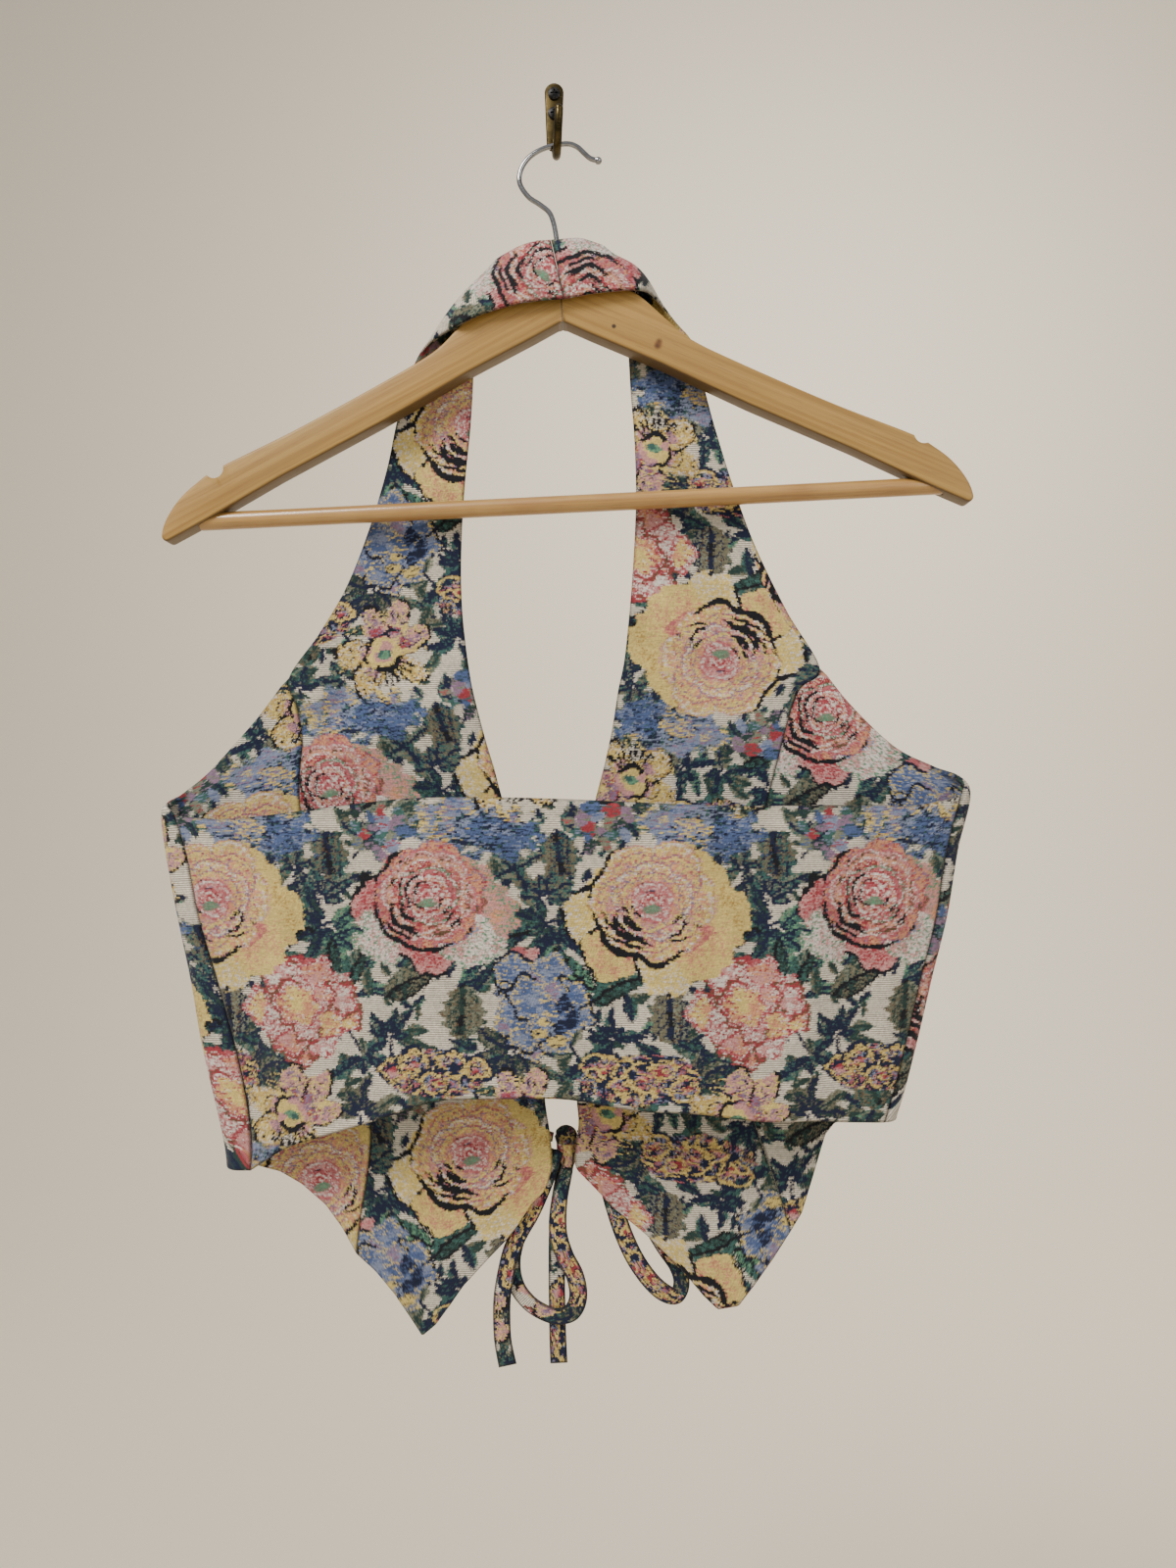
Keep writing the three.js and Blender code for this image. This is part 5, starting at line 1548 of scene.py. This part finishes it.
@dataclass
class WallHook:
    """The hook's oval plate with its round prong, and the two cross-head screws that hold it."""

    top_radius: float = 5.3
    foot_radius: float = 4.2
    top: float = 18.0
    bottom: float = -20.0
    thickness: float = 2.5
    rim: float = 0.8
    prong_radius: float = 2.3
    prong_bend: float = 14.0
    prong_root: Triple = (0.5, -2.2, -14.5)
    prong_lean: float = 2.9
    tip_rise: float = 2.0
    tip_radius: float = 2.4
    screws: tuple[tuple[str, float], ...] = (("wall_screw_upper", 11.6), ("wall_screw_lower", 0.6))
    head_radius: float = 3.4
    head_rim: float = 0.7
    slot_width: float = 0.8
    slot_length: float = 4.2
    slot_depth: float = 1.8
    dome: tuple[Pair, ...] = ((0.3, 0.86), (0.25, 0.78), (0.15, 0.66), (0.07, 0.5))
    fit: float = 0.3

    def plate(self) -> Piece:
        """The plate, from a disc drawn out into an oval with a narrower foot."""
        plate = straight_rod(72, self.top_radius, self.thickness, Along.Y, (0, -self.thickness / 2, 0))
        with editing(plate, "VERT"):
            narrow = self.foot_radius / self.top_radius
            choose(plate, "verts", lambda vertex: vertex.co.z < -1e-6)
            bpy.ops.transform.resize(value=(narrow, 1, narrow), center_override=(0, 0, 0))
            bpy.ops.transform.translate(value=(0, 0, (self.bottom + self.foot_radius) * MM))
            choose(plate, "verts", lambda vertex: vertex.co.z > -1e-6)
            bpy.ops.transform.translate(value=(0, 0, (self.top - self.top_radius) * MM))
        with editing(plate):
            choose(plate, "faces", lambda face: face.normal.y < -0.9)
            bpy.ops.mesh.inset(thickness=0.9 * MM)
            bpy.ops.transform.translate(value=(0, -0.25 * MM, 0))
        finish_with(plate, "BEVEL", width=self.rim * MM, segments=4, limit_method="ANGLE",
                    angle_limit=math.radians(50))
        return plate

    def prong(self) -> Piece:
        """The prong, bent out of the plate's foot into a half circle."""
        share = np.linspace(0, 1, 60)
        angle = np.pi * share
        x, y, z = self.prong_root
        points = np.stack([x + self.prong_lean * share, y - self.prong_bend * (1 - np.cos(angle)),
                           z - self.prong_bend * np.sin(angle)], axis=1)
        tip = points[-1:] + np.array([[0, 0, 0.5], [0, 0, 1], [0, 0, self.tip_rise]])
        points = np.concatenate([points, tip])
        points, radii = ball_end(points, np.full(len(points), self.prong_radius), self.tip_radius)
        return bent_rod(points, radii)

    def screw(self, name: str, z: float) -> Piece:
        """A screw's domed head with its cross."""
        back = -(self.thickness + self.fit)
        head = straight_rod(48, self.head_radius, self.head_rim, Along.Y, (0, back - self.head_rim / 2, z))
        with editing(head):
            choose(head, "faces", lambda face: face.normal.y < -0.9)
            for rise, shrink in self.dome:
                bpy.ops.mesh.extrude_region_move(TRANSFORM_OT_translate={"value": (0, -rise * MM, 0)})
                bpy.ops.transform.resize(value=(shrink, 1, shrink), center_override=(0, 0, z * MM))
        for width, height in ((self.slot_length, self.slot_width), (self.slot_width, self.slot_length)):
            size = Vector((width, self.slot_depth, height)) * MM
            carve(head, start(bpy.ops.mesh.primitive_cube_add, size=1, scale=size,
                              location=(0, (back - 1.5) * MM, z * MM)))
        hand_over(head, f"{name}_head", BLACK_SCREW, "screw_black", name)
        return head

    def build(self) -> None:
        plate, prong = self.plate(), self.prong()
        finish_with(plate, "BOOLEAN", operation="UNION", solver="EXACT", object=prong)
        bpy.data.objects.remove(prong)
        hand_over(plate, "wall_hook_brass", ANTIQUE_BRASS, "hook_brass", "wall_hook")
        for name, z in self.screws:
            self.screw(name, z)


Socket = bpy.types.NodeSocket


class NodeWork:
    """A node tree with short calls to add and join its nodes."""

    def __init__(self, tree: bpy.types.NodeTree) -> None:
        """Takes up a tree."""
        self.tree = tree

    def add(self, kind: str, given: dict[str | int, object] | None = None,
            **settings: object) -> bpy.types.Node:
        """Adds a node.

        Args:
            kind: the node's type.
            given: links or values for its inputs, by name or number.
            settings: the node's own settings.

        Returns:
            The new node.
        """
        node = self.tree.nodes.new(kind)
        for key, value in settings.items():
            setattr(node, key, value)
        for socket, value in (given or {}).items():
            self.give(node.inputs[socket], value)
        return node

    def give(self, target: Socket, value: Socket | float | tuple[float, ...]) -> None:
        """Links a socket to the target, or sets a value on it."""
        if isinstance(value, Socket):
            self.tree.links.new(value, target)
        else:
            target.default_value = value

    def math(self, operation: str, *values: Socket | float) -> Socket:
        """A sum of one or more values."""
        return self.add("ShaderNodeMath", dict(enumerate(values)), operation=operation).outputs[0]

    def spread(self, value: Socket, low: float, high: float, to_low: float = 0, to_high: float = 1) -> Socket:
        """A value's range brought to another range, and held within it."""
        return self.add("ShaderNodeMapRange", dict(enumerate((value, low, high, to_low, to_high)))).outputs[0]

    def split(self, vector: Socket) -> list[Socket]:
        """A vector's three parts."""
        return list(self.add("ShaderNodeSeparateXYZ", {0: vector}).outputs)

    def scaled(self, place: Socket, size: Triple, turn: Triple = (0, 0, 0)) -> Socket:
        """A place turned back by angles, and measured in sizes."""
        given = {"Rotation": turn, "Scale": size, "Vector": place}
        return self.add("ShaderNodeMapping", given, vector_type="TEXTURE").outputs[0]

    def noise(self, place: Socket, detail: float = 2, twist: float = 0) -> Socket:
        """Smooth random values."""
        given = {"Scale": 1.0, "Detail": float(detail), "Distortion": float(twist), "Vector": place}
        return self.add("ShaderNodeTexNoise", given).outputs[0]

    def blend(self, share: Socket | float, first: Socket | tuple, second: Socket | tuple,
              kind: str = "MIX") -> Socket:
        """One colour mixed with another."""
        node = self.add("ShaderNodeMix", {0: share}, data_type="RGBA", blend_type=kind)
        for number, colour in ((6, first), (7, second)):
            self.give(node.inputs[number], colour if isinstance(colour, Socket) else (*colour, 1))
        return node.outputs[2]


class Effect(NodeWork):
    """A shader node group that materials share, with named inputs and outputs."""

    def __init__(self, name: str, inputs: dict[str, str]) -> None:
        """Starts a group.

        Args:
            name: the group's name.
            inputs: each input's name and kind of socket.
        """
        super().__init__(bpy.data.node_groups.new(name, "ShaderNodeTree"))
        for socket, kind in inputs.items():
            self.tree.interface.new_socket(socket, in_out="INPUT", socket_type=kind)
        self.inside = self.add("NodeGroupInput").outputs

    def closed(self, **results: Socket) -> bpy.types.NodeTree:
        """The finished group, with its results as outputs, all of them values."""
        for socket in results:
            self.tree.interface.new_socket(socket, in_out="OUTPUT", socket_type="NodeSocketFloat")
        self.add("NodeGroupOutput", results)
        return self.tree


RIB_PITCH = 0.00115
FLOAT_PITCH = 0.0008
FLOAT_SLANT = 900.0


@cache
def weave_effect() -> bpy.types.NodeTree:
    """Ribs on the plain ground, and finer slanting floats where the cloth is figured."""
    work = Effect("weave", {"Place": "NodeSocketVector", "Ground": "NodeSocketFloat"})
    place, ground = work.inside["Place"], work.inside["Ground"]
    across, up, _ = work.split(place)
    rib = work.math("ABSOLUTE", work.math("SINE", work.math("MULTIPLY", up, math.pi / RIB_PITCH)))
    floats = work.math("MULTIPLY", across, math.pi / FLOAT_PITCH)
    slant = work.math("ADD", floats, work.math("MULTIPLY", up, FLOAT_SLANT))
    twill = work.math("ABSOLUTE", work.math("SINE", slant))
    dash = work.noise(work.scaled(place, (0.0032, 0.0007, 1)), 3)
    soft = work.noise(work.scaled(place, (0.03, 0.022, 1)), 2)
    plain = work.math("ADD", work.math("MULTIPLY", rib, 0.75), work.math("MULTIPLY", dash, 0.4))
    figured = work.math("ADD", work.math("MULTIPLY", twill, 0.3), work.math("MULTIPLY", dash, 0.75))
    given = {0: ground, 2: work.math("ADD", figured, 0.15), 3: plain}
    relief = work.add("ShaderNodeMix", given, data_type="FLOAT").outputs[0]
    shade, cloud = work.spread(relief, 0.2, 1.0, 0.6, 1.05), work.spread(soft, 0.3, 0.7, -0.06, 0.05)
    return work.closed(Shade=work.math("ADD", shade, cloud), Height=relief)


@cache
def grain_effect() -> bpy.types.NodeTree:
    """Streaks of wood along the first direction of the place: growth lines and fine pores."""
    work = Effect("wood_grain", {"Place": "NodeSocketVector"})
    place = work.inside["Place"]
    return work.closed(
        Lines=work.noise(work.scaled(place, (0.16, 0.004, 0.0026)), 3, 0.6),
        Pores=work.noise(work.scaled(place, (0.011, 0.0009, 0.0006)), 3),
        Cloud=work.noise(work.scaled(place, (0.09, 0.02, 0.014)), 2),
    )


@cache
def patina_effect() -> bpy.types.NodeTree:
    """Blotches of tarnish and fine scratches, at a size that each material gives."""
    work = Effect("patina", {"Place": "NodeSocketVector", "Size": "NodeSocketFloat"})
    given = {0: work.inside["Place"], "Scale": work.math("DIVIDE", 1.0, work.inside["Size"])}
    sized = work.add("ShaderNodeVectorMath", given, operation="SCALE").outputs[0]
    scratch = work.noise(work.scaled(sized, (0.9, 0.12, 0.05)), 2)
    return work.closed(Blotch=work.noise(sized, 4, 0.5), Scratch=scratch)


class MaterialWork(NodeWork):
    """A material's node tree, with its principled shader."""

    def __init__(self, name: str, constants: Iterable[tuple[str, float | tuple[float, ...]]]) -> None:
        """Starts a material.

        Args:
            name: the material's name.
            constants: the shader's sockets whose values are the same all over, with those values.
        """
        self.made = bpy.data.materials.new(name)
        self.made.use_nodes = True
        super().__init__(self.made.node_tree)
        self.surface = self.tree.nodes["Principled BSDF"].inputs
        for socket, value in constants:
            self.surface[socket].default_value = value

    def effect(self, group: bpy.types.NodeTree, **values: Socket | float) -> dict[str, Socket]:
        """Places a shared effect in the material with its values, and gives its outputs by their names."""
        node = self.add("ShaderNodeGroup", values, node_tree=group)
        return {socket.name: socket for socket in node.outputs}

    def own(self, output: str) -> Socket:
        """Places, or the directions that the surface faces, in the piece's own frame."""
        return self.add("ShaderNodeTexCoord").outputs[output]

    def attribute(self, name: str, output: str) -> Socket:
        """A value that the piece's mesh carries."""
        return self.add("ShaderNodeAttribute", attribute_name=name).outputs[output]

    def raise_by(self, height: Socket, depth: float, strength: float = 1.0) -> None:
        """Gives the surface a relief of a depth in millimetres."""
        bump = self.add("ShaderNodeBump", {"Distance": depth * MM, "Strength": strength, "Height": height})
        self.give(self.surface["Normal"], bump.outputs[0])


@dataclass(frozen=True)
class Jacquard:
    """The cloth's finish: its printed yarns, its weave, and the painted shade that darkens it along its
    edges.
    """

    name: str = "tapestry_cloth"
    # Painted edge shade: the distances from an edge in millimetres where it is darkest and where it ends, and
    # how dark it gets.
    edge_shade_span: Pair = (0.2, 1.6)
    painted_edge_shade: float = 0.46
    gloss: tuple[float, ...] = (0.2, 1, 0.95, 0.78)
    relief: float = 0.5
    constants: tuple[tuple[str, float], ...] = (
        ("Specular IOR Level", 0.22), ("Sheen Weight", 0.1), ("Sheen Roughness", 0.5),
    )

    @cache
    def material(self) -> bpy.types.Material:
        """The finish as a material, made once."""
        work = MaterialWork(self.name, self.constants)
        place = work.add("ShaderNodeUVMap", uv_map="cut").outputs[0]
        weave = work.effect(weave_effect(), Place=place, Ground=work.attribute("ground", "Fac"))
        # Painted shade: the colour darkens towards every edge of the cloth.
        edge = work.spread(work.attribute("edge", "Fac"), *self.edge_shade_span, self.painted_edge_shade, 1)
        shade = work.math("MULTIPLY", weave["Shade"], edge)
        colour = work.blend(1.0, work.attribute("print", "Color"), shade, "MULTIPLY")
        work.give(work.surface["Base Color"], colour)
        work.give(work.surface["Roughness"], work.spread(weave["Height"], *self.gloss))
        work.raise_by(weave["Height"], self.relief)
        return work.made


@dataclass(frozen=True)
class Stain:
    """A tone laid over a finish where one of its effects rises from a low value to a high one."""

    effect: str
    low: float
    high: float
    tone: Triple
    share: float = 1.0


@dataclass(frozen=True)
class Spot:
    """A round mark: its place and size in millimetres, how softly it ends, and its tone."""

    place: Triple
    size: float
    soft: float
    tone: Triple


@dataclass(frozen=True)
class Finish:
    """A tone under stains, with a gloss and a relief that follow the wood's grain or the patina.

    The gloss names an effect, its low and high values and the roughness at each. The relief names an
    effect, its depth in millimetres and its strength. The grain is how far it is drawn out along the
    piece and its slope in degrees, and the patina is the size of its blotches in metres.
    """

    name: str
    tone: Triple
    stains: tuple[Stain, ...]
    gloss: tuple[str, float, float, float, float]
    relief: tuple[str, float, float] | None = None
    grain: Pair | None = None
    patina: float = 0.0
    constants: tuple[tuple[str, float], ...] = ()

    @cache
    def material(self) -> bpy.types.Material:
        """The finish as a material, made once."""
        work = MaterialWork(self.name, self.constants)
        place = work.own("Object")
        effects: dict[str, Socket] = {}
        if self.grain:
            stretch, slope = self.grain
            along = work.scaled(place, (stretch, 1, 1), (0, math.radians(slope), 0))
            effects |= work.effect(grain_effect(), Place=along)
        if self.patina:
            effects |= work.effect(patina_effect(), Place=place, Size=self.patina)
        colour: Socket | Triple = self.tone
        for stain in self.stains:
            share = work.spread(effects[stain.effect], stain.low, stain.high, 0, stain.share)
            colour = work.blend(share, colour, stain.tone)
        work.give(work.surface["Base Color"], self.marked(work, place, colour))
        follows, *span = self.gloss
        work.give(work.surface["Roughness"], work.spread(effects[follows], *span))
        if self.relief:
            raised, depth, strength = self.relief
            work.raise_by(effects[raised], depth, strength)
        return work.made

    def marked(self, work: MaterialWork, place: Socket, colour: Socket) -> Socket:
        """The colour with the marks that this finish alone has."""
        return colour


@dataclass(frozen=True)
class ArmWood(Finish):
    """An arm's finish, with painted shade beneath, dark along the joint, with its nail holes and knot."""

    spots: tuple[Spot, ...] = ()
    # Painted shade on faces that turn downward: its deep brown tone, and the range of facing over which it
    # comes in.
    under: Triple = (0.105, 0.062, 0.022)
    underside_shade_range: tuple[float, ...] = (-0.35, -0.8, 0, 0.92)
    joint: Triple = (0.07, 0.04, 0.016)
    joint_x: float = -0.94
    joint_width: Pair = (0.15, 0.5)

    def marked(self, work: MaterialWork, place: Socket, colour: Socket) -> Socket:
        """The grained colour with painted shade on the underside, the spots and the joint's line over it."""
        # Painted shade: faces turned downward are darkened towards the deep brown under tone.
        down = work.spread(work.split(work.own("Normal"))[2], *self.underside_shade_range)
        colour = work.blend(down, colour, self.under)
        for spot in self.spots:
            given = {0: place, 1: tuple(c * MM for c in spot.place)}
            gap = work.add("ShaderNodeVectorMath", given, operation="DISTANCE").outputs["Value"]
            near = work.spread(gap, spot.size * MM, (spot.size + spot.soft) * MM, 1, 0)
            colour = work.blend(near, colour, spot.tone)
        across = work.split(work.scaled(place, (1, 1, 1), (0, math.radians(-HANGER_ROLL), 0)))[0]
        gap = work.math("ABSOLUTE", work.math("ADD", across, -self.joint_x * MM))
        dark, clear = self.joint_width
        return work.blend(work.spread(gap, dark * MM, clear * MM, 1, 0), colour, self.joint)


NAIL_HOLE = (0.05, 0.03, 0.015)
ARM_FACE = -24.7
ARM_SPOTS = {
    "left": (
        Spot((-198.8, ARM_FACE, -211), 0.9, 0.7, NAIL_HOLE),
        Spot((-59.5, ARM_FACE, -125.4), 0.8, 0.7, NAIL_HOLE),
    ),
    "right": (
        Spot((33, ARM_FACE, -127), 0.8, 0.7, NAIL_HOLE),
        Spot((57, ARM_FACE, -137), 1.2, 1.8, (0.26, 0.125, 0.036)),
        Spot((57.5, ARM_FACE, -135.2), 0.5, 1.8, (0.13, 0.055, 0.017)),
        Spot((56.6, ARM_FACE, -137.6), 0.6, 1.8, (0.10, 0.042, 0.014)),
    ),
}
TAPESTRY_CLOTH = Jacquard()
BAR_VARNISH = Finish(
    "bar_varnish", (0.50, 0.29, 0.088),
    (Stain("Lines", 0.36, 0.66, (0.35, 0.185, 0.048)), Stain("Blotch", 0.45, 0.75, (0.30, 0.13, 0.03), 0.45),
     Stain("Pores", 0.55, 0.7, (0.20, 0.09, 0.025), 0.4)),
    ("Blotch", 0.3, 0.7, 0.3, 0.45), ("Pores", 0.06, 0.4), (1.6, -HANGER_ROLL), 0.03,
    (("Coat Weight", 0.7), ("Coat Roughness", 0.16), ("Specular IOR Level", 0.5)),
)
CHROME_WIRE = Finish(
    "chrome_wire", (0.34, 0.345, 0.355), (Stain("Blotch", 0.4, 0.75, (0.2, 0.2, 0.205)),),
    ("Scratch", 0.3, 0.7, 0.1, 0.26), patina=0.006, constants=(("Metallic", 1.0),),
)
ANTIQUE_BRASS = Finish(
    "antique_brass", (0.075, 0.055, 0.022),
    (Stain("Blotch", 0.38, 0.66, (0.026, 0.02, 0.009)), Stain("Scratch", 0.6, 0.72, (0.2, 0.15, 0.06), 0.5)),
    ("Blotch", 0.35, 0.7, 0.28, 0.5), ("Blotch", 0.05, 0.4), patina=0.007, constants=(("Metallic", 1.0),),
)
BLACK_SCREW = Finish(
    "black_screw", (0.012, 0.012, 0.013), (Stain("Blotch", 0.5, 0.75, (0.07, 0.065, 0.06)),),
    ("Scratch", 0.3, 0.7, 0.32, 0.5), patina=0.002, constants=(("Metallic", 0.8),),
)


def arm_wood(name: str, side: int) -> ArmWood:
    """The pale honey wood of one arm, its grain along the arm."""
    return ArmWood(
        f"hanger_wood_{name}", (0.42, 0.25, 0.066),
        (Stain("Lines", 0.35, 0.68, (0.29, 0.155, 0.034)), Stain("Cloud", 0.4, 0.7, (0.35, 0.22, 0.066), 0.5),
         Stain("Pores", 0.56, 0.7, (0.25, 0.13, 0.05), 0.42)),
        ("Pores", 0.3, 0.7, 0.42, 0.6), ("Pores", 0.12, 0.5), (1.0, side * ARM_SLOPE - HANGER_ROLL),
        constants=(("Specular IOR Level", 0.35), ("Coat Weight", 0.12), ("Coat Roughness", 0.3)),
        spots=ARM_SPOTS[name],
    )


@dataclass(frozen=True)
class Studio:
    """The pale floor that sweeps up into a backdrop, the lights and the camera."""

    camera: Triple = (0.019, -0.661, -0.3747)
    lens: float = 27.0
    floor: float = -1.5
    backdrop: float = 3.8
    sweep: float = 1.6
    front: float = 5.0
    rise: float = 6.0
    half_width: float = 7.0
    lamp_colour: Triple = (1.0, 0.955, 0.9)
    room_colour: tuple[float, ...] = (0.93, 0.92, 0.92, 1)
    room_light: float = 0.5
    paper: tuple[tuple[str, float | tuple[float, ...]], ...] = (
        ("Roughness", 0.95), ("Base Color", (0.85, 0.77, 0.63, 1)),
    )

    def build(self) -> None:
        """Makes everything that isn't part of the waistcoat."""
        paper = start(bpy.ops.mesh.primitive_grid_add, x_subdivisions=4, y_subdivisions=48, size=2)
        paper.name = "studio_sweep"
        for vertex in paper.data.vertices:
            vertex.co = self.on_sweep(vertex.co.x, vertex.co.y)
        paper.data.shade_smooth()
        paper.data.materials.append(MaterialWork("studio_paper", self.paper).made)
        self.light("key_light", (-1.0, -1.25, 1.3), 0.9, 62)
        self.light("fill_light", (1.5, -1.8, 0.3), 1.6, 14)
        self.light("backdrop_light", (0.9, 1.3, 1.3), 2.2, 78, (1.1, 3.8, 0.3))
        world = bpy.data.worlds.new("pale_room")
        bpy.context.scene.world = world
        world.use_nodes = True
        room = world.node_tree.nodes["Background"].inputs
        room["Color"].default_value = self.room_colour
        room["Strength"].default_value = self.room_light
        self.place_camera()

    def on_sweep(self, x: float, y: float) -> Vector:
        """A place of the paper: level floor, then a quarter circle, then upright."""
        level = self.backdrop - self.sweep + self.front
        bend = self.sweep * math.pi / 2
        run = (y + 1) / 2 * (level + bend + self.rise)
        angle = min(max(run - level, 0), bend) / self.sweep
        depth = min(run, level) - self.front + self.sweep * math.sin(angle)
        height = self.floor + self.sweep * (1 - math.cos(angle)) + max(run - level - bend, 0)
        return Vector((self.half_width * x, depth, height))

    def light(self, name: str, place: Triple, size: float, power: float,
              aim: Triple = (0, 0, -0.35)) -> None:
        """A square soft light turned towards a place."""
        data = bpy.data.lights.new(name, "AREA")
        data.size = size
        data.energy = power
        data.color = self.lamp_colour
        light = new_object(name, data)
        light.location = place
        light.rotation_euler = (Vector(aim) - Vector(place)).to_track_quat("-Z", "Y").to_euler()

    def place_camera(self) -> None:
        """The camera, level and square to the hook's back face."""
        data = bpy.data.cameras.new("camera")
        data.lens = self.lens
        data.sensor_width = 36
        data.sensor_fit = "AUTO"
        data.clip_start = 0.01
        camera = new_object("camera", data)
        camera.location = self.camera
        camera.rotation_euler = (math.pi / 2, 0, 0)
        bpy.context.scene.camera = camera


LEFT = Half("left", -1, LEFT_STRAP, LEFT_FRONT, LEFT_POINT, LEFT_SIDE_HEM)
RIGHT = Half("right", 1, RIGHT_STRAP, RIGHT_FRONT, RIGHT_POINT, RIGHT_SIDE_HEM)

# Creases of the hung cloth, a row for each: the x and z of its start and of its end, its depth away from
# the room, less than nothing where it stands out, and its width.
STRAP_CREASES = [Crease(*row) for row in (
    (-70, -160, -92, -285, 1.4, 6), (-60, -170, -66, -262, -1.1, 8), (68, -150, 88, -262, 1.4, 7),
    (56, -168, 60, -250, -1.0, 8), (-8, -84, -16, -116, 0.9, 2.2), (3.5, -82, 9, -112, -0.7, 2),
    (15, -82, 20, -112, 0.8, 2.6), (-24, -88, -34, -118, -0.6, 3.4), (27, -86, 39, -107, 0.7, 3.2),
)]
FRONT_CREASES = [Crease(*row) for row in (
    (-60, -300, -150, -350, 1.8, 9), (-52, -330, -128, -362, -1.6, 8), (-100, -288, -128, -345, 1.3, 6),
    (-172, -352, -196, -398, -1.6, 7), (52, -296, 140, -338, 1.6, 9), (46, -322, 112, -358, -1.4, 8),
    (160, -326, 190, -372, 1.4, 7), (98, -280, 112, -330, 1.1, 6), (-30, -540, -88, -600, -1.3, 10),
    (-130, -550, -150, -590, 1.1, 7), (40, -548, 92, -598, 1.3, 10), (150, -530, 160, -580, -1.1, 8),
    (-60, -560, -72, -628, 1.0, 7), (72, -560, 70, -610, -1.0, 8),
)]
BAND_CREASES = [Crease(*row) for row in (
    (-168, -402, -158, -560, 2.2, 9), (-146, -398, -140, -520, -1.9, 10), (-112, -410, -104, -545, 1.9, 13),
    (-70, -400, -64, -470, -1.6, 12), (-38, -430, -30, -530, 2.6, 14), (6, -395, 2, -455, -1.6, 11),
    (34, -450, 38, -540, 2.1, 12), (74, -400, 66, -520, -2.1, 13), (112, -392, 106, -500, 2.4, 10),
    (140, -420, 128, -545, -2.1, 10), (172, -395, 156, -480, 1.9, 8), (186, -400, 176, -540, -1.3, 6),
    (-120, -392, -60, -404, 1.3, 5), (60, -396, 130, -390, 1.1, 5),
)]


def rolled_edge(flat: Array, edge: Array) -> Array:
    """Where the shell rolls over the right front's armhole edge into sight."""
    down = np.clip((-238 - flat[:, 1]) / 62, 0, 1)
    return (flat[:, 0] > 88) & (edge < 5.5 * np.sin(np.pi * down) ** 0.7)


def main() -> None:
    """Builds the waistcoat piece by piece, and then the studio."""
    logging.basicConfig(level=logging.INFO, format="%(name)s %(message)s")
    cloth = Tapestry()
    LOG.info("the cloth's repeat has %d threads across and %d up", cloth.columns, cloth.rows)
    behind = Lay((-40, -300), seen_from_behind=True)
    left_neck = Lay((-44, -57), turn=45, seen_from_behind=True)
    right_neck = Lay((41, -62), (-14, -19), 125, seen_from_behind=True)
    upper = STRAP_CREASES + FRONT_CREASES
    left_lay = Lay((-124.5, -376), turn=11, drift=(78, 26))
    CentreFront(left_neck, left_lay, upper, (0.1466, 0.6284), 0.0474, LEFT).build(cloth)
    right_lay = Lay((92.3, -306.8), (117, -3), 176)
    CentreFront(right_neck, right_lay, upper, (0.1357, 0.6148), 0.0451, RIGHT, rolled_edge).build(cloth)
    left_side = Lay((-127.7, -592), (117, -3), 12)
    SideFront(behind, left_side, FRONT_CREASES, (0.1081, 0.3194), 0.0227, LEFT).build(cloth)
    SideFront(behind, Lay((151, -334)), FRONT_CREASES, (0.1204, 0.3072), 0.0253, RIGHT).build(cloth)
    BackBand(Lay((-64.4, -433)), behind, BAND_CREASES, (0.4239, 0.2014), 0.0634, LEFT, RIGHT).build(cloth)
    TieKnot().build(cloth)
    for strip in TIE_STRIPS:
        strip.build(cloth)
    Hanger().build()
    WireHook().build()
    WallHook().build()
    Studio().build()


if __name__ == "__main__":
    main()
